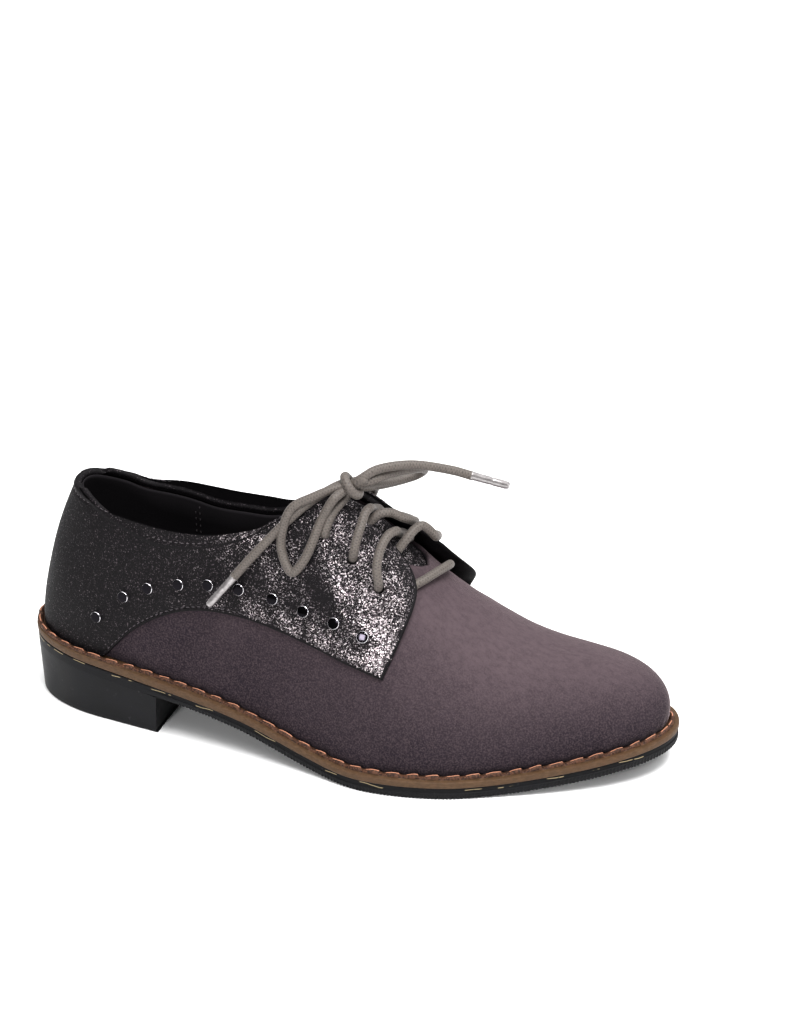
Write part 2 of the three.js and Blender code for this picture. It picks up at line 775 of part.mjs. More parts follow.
const END_LATERAL = [
  [140.2, -6.8, 116],
  [133, -18, 113],
  [124, -25.5, 105.5],
  [111, -29.5, 90],
  [104, -33, 77.5],
];
const END_MEDIAL = [
  [148.2, -6, 118],
  [157, -1, 118.5],
  [168, 7, 117.5],
  [180, 15.5, 114],
  [184, 18, 111.5],
];
const TIE_STEPS = 6;
const knotBody = new THREE.SphereGeometry(KNOT / 2, 14, 9);
knotBody.scale(1, 0.95, 0.8);
add("lace_knot", knotBody, cord).position.set(...KNOT_AT);
add("lace_tie_lateral", cordGeometry(vectors(TIE_LATERAL), LACE, TIE_STEPS), cord);
add("lace_tie_medial", cordGeometry(vectors(TIE_MEDIAL), LACE, TIE_STEPS), cord);
add("lace_loop_lateral", cordGeometry(vectors(LOOP_LATERAL), LACE, 22), cord);
add("lace_loop_medial", cordGeometry(vectors(LOOP_MEDIAL), LACE, 16), cord);
add("lace_end_lateral", cordGeometry(vectors(END_LATERAL), LACE, 12), cord);
add("lace_end_medial", cordGeometry(vectors(END_MEDIAL), LACE, 10), cord);

// Aglets: a stiff tip in line with each end of the lace
function addAglet(name, route) {
  const [before, last] = vectors(route).slice(-2);
  const way = last.clone().sub(before).normalize();
  const tip = add(name, new THREE.CylinderGeometry(AGLET_WIDTH / 2, AGLET_WIDTH / 2, AGLET_LENGTH, 10), clearTip);
  tip.quaternion.setFromUnitVectors(new THREE.Vector3(0, 1, 0), way);
  tip.position.copy(last).addScaledVector(way, AGLET_LENGTH / 2 + GAP);
}
addAglet("aglet_lateral", END_LATERAL);
addAglet("aglet_medial", END_MEDIAL);

export default shoe;
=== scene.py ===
"""A right derby shoe with studded quarters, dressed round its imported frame.

Metres, +X to the toe, +Y to the inner side, +Z up, origin on the floor under the heel. Places on the shoe
are given as a turn round the outline, or a share along it, and a share up from the feather to the ridge.
"""

import math

import bpy
import numpy as np
from mathutils import Matrix, Vector


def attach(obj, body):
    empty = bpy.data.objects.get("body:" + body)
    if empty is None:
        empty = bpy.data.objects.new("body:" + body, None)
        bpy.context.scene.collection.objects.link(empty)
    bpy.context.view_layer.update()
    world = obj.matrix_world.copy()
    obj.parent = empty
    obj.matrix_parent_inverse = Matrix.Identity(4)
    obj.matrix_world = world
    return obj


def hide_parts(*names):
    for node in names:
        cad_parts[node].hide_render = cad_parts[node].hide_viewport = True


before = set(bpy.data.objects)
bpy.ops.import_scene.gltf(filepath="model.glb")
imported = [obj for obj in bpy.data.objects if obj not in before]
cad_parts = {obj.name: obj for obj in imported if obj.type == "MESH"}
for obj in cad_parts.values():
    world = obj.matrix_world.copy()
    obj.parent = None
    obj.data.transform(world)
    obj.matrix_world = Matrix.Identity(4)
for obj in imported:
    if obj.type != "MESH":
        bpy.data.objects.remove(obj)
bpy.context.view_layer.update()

MM = 0.001

# Driving sizes
LENGTH = 270 * MM
BALL_WIDTH = 91 * MM
HEEL_HEIGHT = 22.6 * MM
TOE_SPRING = 9.5 * MM
INSTEP_HEIGHT = 100 * MM
HEEL_LENGTH = 66 * MM
HEEL_TAPER = 0.5 * MM
BREAST_LEAN = 1.6 * MM
HEEL_REST = 28 * MM
SOLE_THICK = 4 * MM
SOLE_MORE = 0.65 * MM
SOLE_EDGE = 0.5 * MM
SOLE_STEP = 0.5 * MM
WELT_THICK = 3.4 * MM
WELT_PROUD = 0.2 * MM
WELT_REACH = 4.4 * MM
BEAD_HEIGHT = 1.9 * MM
BEAD_WIDTH = 2.6 * MM
INSOLE_THICK = 2.5 * MM
UPPER_WALL = 1.4 * MM
QUARTER_WALL = 1.2 * MM
TONGUE_WALL = 1.4 * MM
TONGUE_DROP = 12 * MM
TONGUE_GAP = 0.9 * MM
LINING_WALL = 0.5 * MM
FACING_LIFT = 0.8 * MM
STUD_WIDTH = 4.8 * MM
STUD_HEIGHT = 1.8 * MM
EYELET = 4.2 * MM
LACE = 3.6 * MM
AGLET_LENGTH = 15 * MM
AGLET_WIDTH = 3.3 * MM
GAP = 0.3 * MM
QUARTER_OUT = GAP + QUARTER_WALL


def table(names, rows):
    """A dict of named columns."""
    return dict(zip(names.split(), np.array(rows, float).T))


# Half widths of the outsole, as shares of BALL_WIDTH
OUTLINE = table("along lateral medial", [
    [0, 0, 0],
    [0.03, 0.196, 0.196],
    [0.1, 0.305, 0.302],
    [0.2, 0.352, 0.322],
    [0.3, 0.385, 0.281],
    [0.4, 0.418, 0.293],
    [0.5, 0.468, 0.363],
    [0.6, 0.522, 0.451],
    [0.7, 0.482, 0.493],
    [0.8, 0.36, 0.484],
    [0.88, 0.245, 0.446],
    [0.95, 0.114, 0.363],
    [1, -0.13, 0.13],
])
# The outsole's underside, as shares of HEEL_HEIGHT and TOE_SPRING
UNDERSIDE = table("along heel toe", [
    [0, 1, 0],
    [0.1, 0.92, 0],
    [0.25, 0.745, 0],
    [0.33, 0.62, 0],
    [0.4, 0.455, 0],
    [0.45, 0.29, 0],
    [0.5, 0.128, 0],
    [0.55, 0.022, 0],
    [0.58, 0, 0],
    [0.72, 0, 0],
    [0.78, 0, 0.07],
    [0.84, 0, 0.27],
    [0.9, 0, 0.52],
    [0.95, 0, 0.77],
    [1, 0, 1],
])
# The last's ridge, as shares of INSTEP_HEIGHT and BALL_WIDTH
RIDGE = table("along high side", [
    [0, 1.32, 0],
    [0.15, 1.34, 0],
    [0.3, 1.33, 0],
    [0.4, 1.28, 0],
    [0.46, 1.21, 0],
    [0.51, 1.115, 0],
    [0.55, 1.015, 0.005],
    [0.59, 0.905, 0.01],
    [0.63, 0.785, 0.02],
    [0.67, 0.685, 0.03],
    [0.71, 0.605, 0.045],
    [0.76, 0.52, 0.06],
    [0.81, 0.468, 0.08],
    [0.86, 0.445, 0.1],
    [0.91, 0.437, 0.115],
    [0.96, 0.427, 0.125],
    [1, 0.405, 0.13],
])
SECTION = table("along bulge wall flat", [
    [0, -0.04, 0.36, 0.4],
    [0.05, -0.04, 0.38, 0.43],
    [0.15, -0.02, 0.44, 0.52],
    [0.3, 0.02, 0.46, 0.5],
    [0.4, 0.02, 0.44, 0.42],
    [0.5, 0.02, 0.42, 0.36],
    [0.6, 0.03, 0.45, 0.42],
    [0.7, 0.05, 0.55, 0.53],
    [0.8, 0.08, 0.62, 0.62],
    [0.9, 0.1, 0.7, 0.7],
    [1, 0.11, 0.75, 0.78],
])
# Edges of the quarters and of the grey upper, as shares up the wall
COLLAR = table("along lateral medial", [
    [0, 0.488, 0.488],
    [0.03, 0.484, 0.466],
    [0.088, 0.452, 0.422],
    [0.128, 0.424, 0.39],
    [0.18, 0.394, 0.38],
    [0.228, 0.375, 0.376],
    [0.261, 0.375, 0.374],
    [0.309, 0.394, 0.388],
    [0.358, 0.438, 0.415],
    [0.396, 0.488, 0.47],
    [0.435, 0.575, 0.568],
    [0.47, 0.67, 0.66],
    [0.5, 0.75, 0.74],
    [0.526, 0.795, 0.795],
])
ARCH = table("along up", [
    [0, 0],
    [0.15, 0],
    [0.172, 0.044],
    [0.196, 0.094],
    [0.233, 0.15],
    [0.279, 0.2],
    [0.321, 0.231],
    [0.364, 0.252],
    [0.41, 0.27],
    [0.467, 0.292],
    [0.52, 0.312],
    [0.572, 0.333],
    [0.617, 0.35],
])
FACING = table("step along up", [
    [0, 0.617, 0.35],
    [0.2, 0.629, 0.47],
    [0.4, 0.637, 0.6],
    [0.55, 0.639, 0.7],
    [0.68, 0.634, 0.78],
    [0.78, 0.618, 0.835],
    [0.87, 0.59, 0.852],
    [0.94, 0.556, 0.848],
    [0.98, 0.535, 0.825],
    [1, 0.526, 0.795],
])
MEDIAL_FACING_SHIFT = 0.022
UPPER_EDGE = table("along lateral medial", [
    [0, 0.468, 0.468],
    [0.088, 0.432, 0.404],
    [0.18, 0.376, 0.362],
    [0.245, 0.358, 0.357],
    [0.309, 0.376, 0.366],
    [0.358, 0.42, 0.388],
    [0.396, 0.468, 0.43],
    [0.435, 0.55, 0.5],
    [0.47, 0.64, 0.59],
    [0.51, 0.72, 0.68],
    [0.56, 0.77, 0.7],
    [0.597, 0.8, 0.72],
    [0.614, 0.85, 0.79],
    [0.626, 0.9, 0.87],
    [0.634, 0.95, 0.94],
    [0.637, 1, 1],
])
STUD_PLACES = table("along up", [
    [0.142, 0.119],
    [0.19, 0.2],
    [0.233, 0.244],
    [0.286, 0.281],
    [0.335, 0.309],
    [0.385, 0.334],
    [0.438, 0.36],
    [0.486, 0.383],
    [0.533, 0.415],
    [0.578, 0.442],
])
EYELET_PLACES = table("along up", [
    [0.507, 0.65],
    [0.548, 0.65],
    [0.591, 0.64],
])


# Curves
def through(xs, ys, x):
    """Cubic Hermite curve through a table's rows, each row's slope the mean of its neighbours'."""
    steps = np.diff(ys) / np.diff(xs)
    slopes = np.concatenate([steps[:1], (steps[1:] + steps[:-1]) / 2, steps[-1:]])
    x = np.clip(x, xs[0], xs[-1])
    k = np.clip(np.searchsorted(xs, x, side="right") - 1, 0, len(xs) - 2)
    h = xs[k + 1] - xs[k]
    s = (x - xs[k]) / h
    level = (2 * s**3 - 3 * s**2 + 1) * ys[k] + (3 * s**2 - 2 * s**3) * ys[k + 1]
    return level + (s**3 - 2 * s**2 + s) * h * slopes[k] + (s**3 - s**2) * h * slopes[k + 1]


def smooth(low, high, x):
    """0 below low, 1 above high, 3t^2 - 2t^3 between."""
    t = np.clip((x - low) / (high - low), 0, 1)
    return t * t * (3 - 2 * t)


def hump(x, centre, width):
    """Bell exp(-((x - centre) / width)^2)."""
    return np.exp(-(((x - centre) / width) ** 2))


def turn_at(along):
    return np.arccos(1 - 2 * np.asarray(along, float))


def along_at(turn):
    return (1 - np.cos(turn)) / 2


def round_table():
    """The outline's sideways places against the turn, with two rows repeated at each end."""
    turns = turn_at(OUTLINE["along"])
    turns = np.concatenate([turns, 2 * np.pi - turns[-2::-1]])
    sides = np.concatenate([-OUTLINE["lateral"], OUTLINE["medial"][-2::-1]])
    turns = np.concatenate([turns[-3:-1] - 2 * np.pi, turns, turns[1:3] + 2 * np.pi])
    return turns, np.concatenate([sides[-3:-1], sides, sides[1:3]])


ROUND_TURNS, ROUND_SIDES = round_table()


def sole_edge(turn):
    """x = LENGTH (1 - cos turn) / 2, y = BALL_WIDTH times the table's curve."""
    turn = np.mod(turn, 2 * np.pi)
    return LENGTH * along_at(turn), BALL_WIDTH * through(ROUND_TURNS, ROUND_SIDES, turn)


def inside_edge(turn, distance):
    """The outline moved inward by a distance along its normal."""
    small = 1e-3
    x0, y0 = sole_edge(turn - small)
    x1, y1 = sole_edge(turn + small)
    x, y = sole_edge(turn)
    long = np.hypot(x1 - x0, y1 - y0)
    return x - (y1 - y0) / long * distance, y + (x1 - x0) / long * distance


def underside(x):
    heel = HEEL_HEIGHT * through(UNDERSIDE["along"], UNDERSIDE["heel"], x / LENGTH)
    toe = TOE_SPRING * through(UNDERSIDE["along"], UNDERSIDE["toe"], x / LENGTH)
    return np.maximum(heel, 0) + np.maximum(toe, 0)


def sole_thick(x):
    """SOLE_THICK, a little more under the forefoot."""
    return SOLE_THICK + SOLE_MORE * smooth(0.3, 0.5, x / LENGTH)


def welt_bottom(x):
    return underside(x) + sole_thick(x) + GAP


def welt_top(x):
    return underside(x) + SOLE_THICK + GAP + WELT_THICK


def feather(x):
    return welt_top(x) + GAP


def ridge_height(x):
    return INSTEP_HEIGHT * through(RIDGE["along"], RIDGE["high"], x / LENGTH)


def ridge_side(x):
    return BALL_WIDTH * through(RIDGE["along"], RIDGE["side"], x / LENGTH)


HEEL_FAN = 0.444 * LENGTH
TOE_FAN = 0.62 * LENGTH


def last(turn, up):
    """The last: out = r^3 + 3 r^2 u (1 + bulge) + 3 r u^2 flat blends the foot of the wall to the ridge
    sideways, high = 3 r^2 u wall + 3 r u^2 + u^3 blends it upward, with u the share up and r = 1 - u."""
    turn, up = np.broadcast_arrays(np.asarray(turn, float), np.asarray(up, float))
    along = along_at(turn)
    foot_x, foot_y = inside_edge(turn, WELT_REACH)
    station = along * LENGTH
    station = (
        station
        + np.maximum(0, HEEL_FAN - station) ** 2 / (2 * HEEL_FAN)
        - np.maximum(0, station - TOE_FAN) ** 2 / (2 * (LENGTH - TOE_FAN))
    )
    bulge, wall, flat = (through(SECTION["along"], SECTION[k], along) for k in ("bulge", "wall", "flat"))
    rest = 1 - up
    out = rest**3 + 3 * rest**2 * up * (1 + bulge) + 3 * rest * up**2 * flat
    high = 3 * rest**2 * up * wall + 3 * rest * up**2 + up**3
    x = station + (foot_x - station) * out
    y = ridge_side(station) + (foot_y - ridge_side(station)) * out
    return np.stack([x, y, feather(foot_x) * (1 - high) + ridge_height(x) * high], -1)


def unit(v):
    return v / np.maximum(np.linalg.norm(v, axis=-1, keepdims=True), 1e-12)


def last_normal(turn, up):
    """Cross product of the last's two small steps."""
    small = 2e-3
    up = np.clip(up, small, 1 - small)
    along = last(turn + small, up) - last(turn - small, up)
    over = last(turn, up + small) - last(turn, up - small)
    return unit(np.cross(along, over))


def skin(turn, up, lift):
    """The last moved outward along its normal by the lift."""
    return last(turn, up) + last_normal(turn, up) * np.asarray(lift)[..., None]


def side_turn(side, along):
    turn = turn_at(along)
    return turn if side == "lateral" else 2 * np.pi - turn


def travelled(points, axis=0):
    """Distance along lines of points from their first ones."""
    steps = np.linalg.norm(np.diff(points, axis=axis), axis=-1)
    start = np.zeros_like(np.take(steps, [0], axis))
    return np.concatenate([start, np.cumsum(steps, axis)], axis)


def paired_turns(count):
    """Turns at equal steps of the outline's length, in pairs on both sides, from the back of the heel."""
    fine = np.linspace(0, 2 * np.pi, 4001)
    long = travelled(np.stack(sole_edge(fine), -1))
    even = np.interp(np.linspace(0, long[-1], count, endpoint=False), long, fine)
    half = even[(even > 0) & (even < np.pi)]
    return np.concatenate([[0], half, [np.pi], 2 * np.pi - half[::-1]])


def circle(across, upward, sides):
    """Directions round a circle from one arm over the other, with the first one repeated at the end."""
    angle = np.linspace(0, 2 * np.pi, sides + 1)[:, None]
    return across[..., None, :] * np.cos(angle) + upward[..., None, :] * np.sin(angle)


# Meshes
WELD = 1e-7


class Form:
    """Points and faces of one piece, collected from grids."""

    def __init__(self):
        self.points, self.marks, self.quads, self.count = [], [], [], 0

    def add(self, points, marks=None):
        """Adds a grid of points and their two marks, and gives the points' numbers in the same grid."""
        flat = np.reshape(points, (-1, 3))
        marks = np.zeros((len(flat), 2)) if marks is None else np.reshape(marks, (-1, 2))
        ids = self.count + np.arange(len(flat)).reshape(np.shape(points)[:-1])
        self.points.append(flat)
        self.marks.append(marks)
        self.count += len(flat)
        return ids

    def faces(self, *corners):
        self.quads.append(np.stack([c.ravel() for c in corners], -1))

    def cells(self, ids, flip=False):
        """Faces of a grid: (i, j), (i + 1, j), (i + 1, j + 1), (i, j + 1)."""
        a, b, c, d = ids[:-1, :-1], ids[1:, :-1], ids[1:, 1:], ids[:-1, 1:]
        self.faces(*((a, d, c, b) if flip else (a, b, c, d)))

    def slab(self, outer, inner, keep=None, ring=False, closed=None):
        """A wall between two grids, less the cells not kept, with a rim where a kept cell has no neighbour.
        In a ring the last column lies on the first. closed says in which columns of cells the top edge is
        joined over the ridge, so that it has no rim."""
        corners = [(g[:-1, :-1], g[1:, :-1], g[1:, 1:], g[:-1, 1:]) for g in (outer, inner)]
        (a, b, c, d), (e, f, g, h) = corners
        if keep is None:
            keep = np.ones(a.shape, bool)
        self.faces(a[keep], b[keep], c[keep], d[keep])
        self.faces(e[keep], h[keep], g[keep], f[keep])
        padded = np.pad(keep, 1)
        if ring:
            padded[0, 1:-1], padded[-1, 1:-1] = keep[-1], keep[0]
        left, right = keep & ~padded[:-2, 1:-1], keep & ~padded[2:, 1:-1]
        low, top = keep & ~padded[1:-1, :-2], keep & ~padded[1:-1, 2:]
        if closed is not None:
            top[closed, -1] = False
        rims = (left, (a, d, h, e)), (right, (c, b, f, g)), (low, (b, a, e, f)), (top, (d, c, g, h))
        for rim, sides in rims:
            self.faces(*(side[rim] for side in sides))

    def fan(self, middle, ring):
        """Faces from one point to each step of a ring."""
        hub = np.full(len(ring) - 1, middle)
        self.faces(hub, ring[:-1], ring[1:], hub)

    def rings(self, rings, marks=None):
        """Closed rings carried one above the other, open at both ends."""
        ids = self.add(rings, marks)
        around = np.concatenate([ids, ids[:, :1]], 1)
        self.faces(around[:-1, :-1], around[:-1, 1:], around[1:, 1:], around[1:, :-1])
        return around

    def loft(self, rings, marks=None):
        """Closed rings with flat strips across the first and the last."""
        ids = self.rings(rings, marks)[:, :-1]
        count = ids.shape[1]
        i = np.arange(count // 2)
        over, after = (count - i) % count, count - i - 1
        self.faces(ids[0, i], ids[0, over], ids[0, after], ids[0, i + 1])
        self.faces(ids[-1, i], ids[-1, i + 1], ids[-1, after], ids[-1, over])

    def make(self, name, material, sharp=None, replaces=()):
        """Welds the points, drops empty faces, turns the whole outward and makes the piece."""
        points, marks, quads = (np.concatenate(part) for part in (self.points, self.marks, self.quads))
        triangles = np.concatenate([quads[:, [0, 1, 2]], quads[:, [0, 2, 3]]])
        _, first, place = np.unique(
            np.round(points / WELD).astype(np.int64), axis=0, return_index=True, return_inverse=True
        )
        place = place.ravel()
        welded = place[triangles]
        real = (
            (welded[:, 0] != welded[:, 1]) & (welded[:, 1] != welded[:, 2]) & (welded[:, 2] != welded[:, 0])
        )
        triangles, welded = triangles[real], welded[real]
        used, welded = np.unique(welded, return_inverse=True)
        welded = welded.reshape(-1, 3)
        points = points[first[used]] - [HEEL_REST, 0, 0]
        a, b, c = points[welded[:, 0]], points[welded[:, 1]], points[welded[:, 2]]
        if (a * np.cross(b, c)).sum() < 0:
            welded, triangles = welded[:, ::-1], triangles[:, ::-1]
        mesh = bpy.data.meshes.new(name)
        mesh.vertices.add(len(points))
        mesh.vertices.foreach_set("co", points.astype(np.float32).ravel())
        mesh.loops.add(welded.size)
        mesh.loops.foreach_set("vertex_index", welded.astype(np.int32).ravel())
        mesh.polygons.add(len(welded))
        mesh.polygons.foreach_set("loop_start", np.arange(0, welded.size, 3, dtype=np.int32))
        mesh.update(calc_edges=True)
        layer = mesh.uv_layers.new(name="marks")
        layer.data.foreach_set("uv", marks[triangles.ravel()].astype(np.float32).ravel())
        mesh.shade_smooth()
        if sharp is not None:
            mesh.set_sharp_from_angle(angle=math.radians(sharp))
        mesh.materials.append(material)
        piece = bpy.data.objects.new(name, mesh)
        bpy.context.scene.collection.objects.link(piece)
        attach(piece, "root")
        if replaces:
            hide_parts(*replaces)
        return piece


CORD_SIDES = 16
CAP_RINGS = 4
CAP_LENGTH = 0.8
# A direction that no lace runs along
ASKEW = [0.31, 0.17, 0.94]


def tube(form, line, width):
    """A round tube with domed ends: rings of radius width / 2 square to a line, each turned as the last."""
    way = unit(np.gradient(line, axis=0))
    across = np.zeros_like(line)
    across[0] = unit(np.cross(way[0], ASKEW))
    for k in range(1, len(line)):
        across[k] = unit(across[k - 1] - way[k] * (across[k - 1] @ way[k]))
    upward = np.cross(way, across)
    bend = np.sin(np.linspace(0, np.pi / 2, CAP_RINGS + 1))[:-1]
    back = width / 2 * np.sqrt(1 - bend**2) * CAP_LENGTH
    radius = width / 2 * np.concatenate([bend, np.ones(len(line)), bend[::-1]])
    shift = np.concatenate([-back, np.zeros(len(line)), back[::-1]])
    line, way, across, upward = (
        np.concatenate([v[:1].repeat(CAP_RINGS, 0), v, v[-1:].repeat(CAP_RINGS, 0)])
        for v in (line, way, across, upward)
    )
    ring = circle(across, upward, CORD_SIDES)
    points = line[:, None] + ring * radius[:, None, None] + (way * shift[:, None])[:, None]
    around, long = np.linspace(0, 1, CORD_SIDES + 1), travelled(line)
    marks = np.stack(np.broadcast_arrays(around, (long / width)[:, None]), -1)
    ids = form.add(points, marks)
    form.cells(ids, flip=True)
    first, last_one = form.add(np.stack([line[0] + way[0] * shift[0], line[-1] + way[-1] * shift[-1]]))
    form.fan(first, ids[0])
    form.fan(last_one, ids[-1, ::-1])


def route(points, step):
    """A smooth curve through given points, each coordinate a cubic of the distance, in even steps."""
    points = np.asarray(points, float)
    long = np.concatenate([[0], np.cumsum(np.sqrt(np.linalg.norm(np.diff(points, axis=0), axis=1)))])
    fine = np.linspace(0, long[-1], 40 * len(points))
    line = np.stack([through(long, points[:, k], fine) for k in range(3)], -1)
    far = travelled(line)
    even = np.linspace(0, far[-1], max(3, int(far[-1] / step)))
    return np.stack([np.interp(even, far, line[:, k]) for k in range(3)], -1)


# Materials
def linear(red, green, blue):
    """An sRGB colour of 0 to 255 as linear light."""
    c = np.array([red, green, blue]) / 255
    return (*np.where(c <= 0.04045, c / 12.92, ((c + 0.055) / 1.055) ** 2.4), 1.0)


class Finish:
    """A material under construction: its nodes are made and linked by short calls."""

    def __init__(self, name, **sockets):
        self.material = bpy.data.materials.new(name)
        self.material.use_nodes = True
        self.nodes = self.material.node_tree.nodes
        self.links = self.material.node_tree.links
        self.shader = self.nodes["Principled BSDF"]
        for key, value in sockets.items():
            self.shader.inputs[key.replace("_", " ")].default_value = value
        self.coordinates = self.node("ShaderNodeTexCoord")

    def node(self, kind, inputs=None, **properties):
        made = self.nodes.new(kind)
        for key, value in properties.items():
            setattr(made, key, value)
        for key, value in (inputs or {}).items():
            if isinstance(value, bpy.types.NodeSocket):
                self.links.new(value, made.inputs[key])
            else:
                made.inputs[key].default_value = value
        return made

    def place(self, squeeze=(1, 1, 1), source="Object"):
        return self.node(
            "ShaderNodeMapping", {"Vector": self.coordinates.outputs[source], "Scale": squeeze}
        ).outputs["Vector"]

    def noise(self, scale, detail=2.0, rough=0.5, at=None, warp=0.0):
        """Cloudy noise in space; scale is the number of its coarsest grains in a metre."""
        return self.node(
            "ShaderNodeTexNoise",
            {
                "Vector": at or self.coordinates.outputs["Object"],
                "Scale": scale,
                "Detail": detail,
                "Roughness": rough,
                "Distortion": warp,
            },
        ).outputs["Fac"]

    def spread(self, value, low, high, to_low=0.0, to_high=1.0):
        """A smooth step from low to high."""
        return self.node(
            "ShaderNodeMapRange",
            {"Value": value, "From Min": low, "From Max": high, "To Min": to_low, "To Max": to_high},
            interpolation_type="SMOOTHSTEP",
        ).outputs["Result"]

    def sum(self, kind, a, b):
        return self.node("ShaderNodeMath", {0: a, 1: b}, operation=kind).outputs[0]

    def mix(self, share, a, b):
        made = self.node("ShaderNodeMix", {"Factor": share, "A": a, "B": b}, data_type="RGBA")
        return made.outputs["Result"]

    def mark(self, axis):
        """One of the two numbers that a mesh keeps at each corner, X or Y."""
        return self.node("ShaderNodeSeparateXYZ", {0: self.coordinates.outputs["UV"]}).outputs[axis]

    def pebbles(self, scale):
        """Cells with a colour each and the distance from their middles; scale is their number in a metre."""
        at = self.coordinates.outputs["Object"]
        return self.node("ShaderNodeTexVoronoi", {"Vector": at, "Scale": scale})

    def stripes(self, squeeze, scale):
        """Diagonal bands over the marks."""
        return self.node(
            "ShaderNodeTexWave",
            {"Vector": self.place(squeeze, "UV"), "Scale": scale},
            bands_direction="DIAGONAL",
        ).outputs["Fac"]

    def bump(self, height, depth, strength=1.0, under=None):
        inputs = {"Height": height, "Distance": depth, "Strength": strength}
        if under is not None:
            inputs["Normal"] = under
        return self.node("ShaderNodeBump", inputs).outputs["Normal"]

    def set(self, **sockets):
        for key, value in sockets.items():
            self.links.new(value, self.shader.inputs[key.replace("_", " ")])
        return self.material


def suede_finish():
    """Brushed grey-mauve suede: cloudy nap, fine grain and a soft sheen, painted darker low down and lighter
    towards the ridge as painted shade.
    """
    f = Finish("suede", Roughness=0.95, Specular_IOR_Level=0.12, Sheen_Weight=0.45, Sheen_Roughness=0.3)
    f.shader.inputs["Sheen Tint"].default_value = linear(222, 205, 205)
    cloud = f.noise(26, 4, 0.6, warp=0.6)
    streak = f.noise(360, 3, 0.65, at=f.place((1, 1.6, 0.55)))
    grain = f.noise(1500, 3, 0.65)
    # Painted shade: the marks' second number, the share up, turns the colour from dark near the welt to
    # light at the ridge, with cloudy tone on top.
    painted_shade_and_cloud = f.sum("ADD", f.spread(f.mark("Y"), 0.0, 0.75), f.spread(cloud, 0.25, 0.75, -0.12, 0.12))
    colour = f.mix(painted_shade_and_cloud, linear(39, 33, 40), linear(83, 72, 76))
    colour = f.mix(f.spread(streak, 0.34, 0.68, 0.0, 0.3), colour, linear(38, 32, 37))
    colour = f.mix(f.spread(grain, 0.38, 0.68, 0.0, 0.5), colour, linear(88, 76, 79))
    nap = f.bump(streak, 0.00018, 0.4)
    return f.set(Base_Color=colour, Normal=f.bump(grain, 0.0003, 0.7, under=nap))


def foil_finish():
    """Black leather under a broken pewter foil: the marks' first number says how many flecks are left and
    how bright the flecks are painted as painted light, and the second how far the folded black edge is, in
    hundredths of a metre."""
    f = Finish("crackled_foil", Specular_IOR_Level=0.16)
    flecks = f.noise(1650, 3, 0.66, warp=0.6)
    patches = f.noise(150, 3, 0.6, warp=0.5)
    # shine: how much foil is left, and how bright its flecks are painted as painted light, brighter round
    # the facings and dimmer at the heel.
    shine = f.sum("MULTIPLY", f.mark("X"), f.spread(patches, 0.3, 0.62, 0.55, 1.1))
    folded = f.spread(f.mark("Y"), 0.07, 0.14, 0.16, 0.0)
    level = f.sum("SUBTRACT", f.sum("MULTIPLY", shine, 0.15), folded)
    mask = f.spread(f.sum("ADD", flecks, level), 0.6, 0.66)
    tilt = f.node("ShaderNodeSeparateColor", {0: f.pebbles(1900.0).outputs["Color"]}).outputs[0]
    bright = f.mix(f.spread(tilt, 0.25, 0.95), linear(80, 72, 76), linear(232, 222, 224))
    # Painted shade: where the shine is low the flecks take these dim colours instead of the bright ones.
    dim = f.mix(f.spread(tilt, 0.1, 0.9), linear(36, 32, 35), linear(96, 88, 92))
    bright = f.mix(f.spread(shine, 0.15, 0.6), dim, bright)
    hide = f.mix(f.noise(700, 3), linear(8, 6, 8), linear(18, 15, 18))
    colour = f.mix(mask, hide, bright)
    normal = f.bump(f.noise(620, 4, 0.6), 0.0003, 0.3)
    normal = f.bump(tilt, 0.0002, 0.5, under=normal)
    normal = f.bump(mask, 0.00006, 0.5, under=normal)
    rough = f.spread(mask, 0.0, 1.0, 0.6, 0.36)
    metal = f.spread(mask, 0.0, 1.0, 0.0, 0.7)
    return f.set(Base_Color=colour, Metallic=metal, Roughness=rough, Normal=normal)


def lining_finish():
    """Dull black pigskin lining with small pores."""
    f = Finish("lining", Roughness=0.82, Specular_IOR_Level=0.25)
    height = f.spread(f.pebbles(900.0).outputs["Distance"], 0.0, 0.35)
    return f.set(
        Base_Color=f.mix(f.noise(60, 4), linear(17, 14, 17), linear(30, 26, 30)),
        Normal=f.bump(height, 0.00012, 0.5),
    )


def rubber_finish(name, gloss, glue):
    """Black moulded rubber with a faint bloom. Glue adds broken tan dashes just under the top edge, as far
    down as the marks' second number says."""
    f = Finish(name, Specular_IOR_Level=0.18)
    bloom = f.noise(45, 5, 0.65, warp=0.4)
    colour = f.mix(f.spread(bloom, 0.35, 0.7), linear(13, 13, 15), linear(22, 22, 25))
    dust = f.spread(f.noise(380, 3, 0.7), 0.66, 0.74, 0.0, 0.3)
    colour = f.mix(dust, colour, linear(74, 72, 74))
    if glue:
        drift = f.sum("ADD", f.mark("Y"), f.spread(f.noise(60, 2), 0.3, 0.7, -0.0005, 0.0005))
        above, below = f.spread(drift, 0.00055, 0.0007), f.spread(drift, 0.00085, 0.001, 1.0, 0.0)
        broken = f.spread(f.noise(130, 2, 0.5), 0.54, 0.57)
        seen = f.sum("MULTIPLY", f.sum("MULTIPLY", above, below), broken)
        colour = f.mix(f.sum("MULTIPLY", seen, 0.9), colour, linear(168, 152, 120))
    fine = f.bump(f.noise(1500, 3, 0.6), 0.0001, 0.35)
    return f.set(
        Base_Color=colour, Roughness=f.spread(bloom, 0.3, 0.7, gloss, gloss + 0.12), Normal=fine
    )


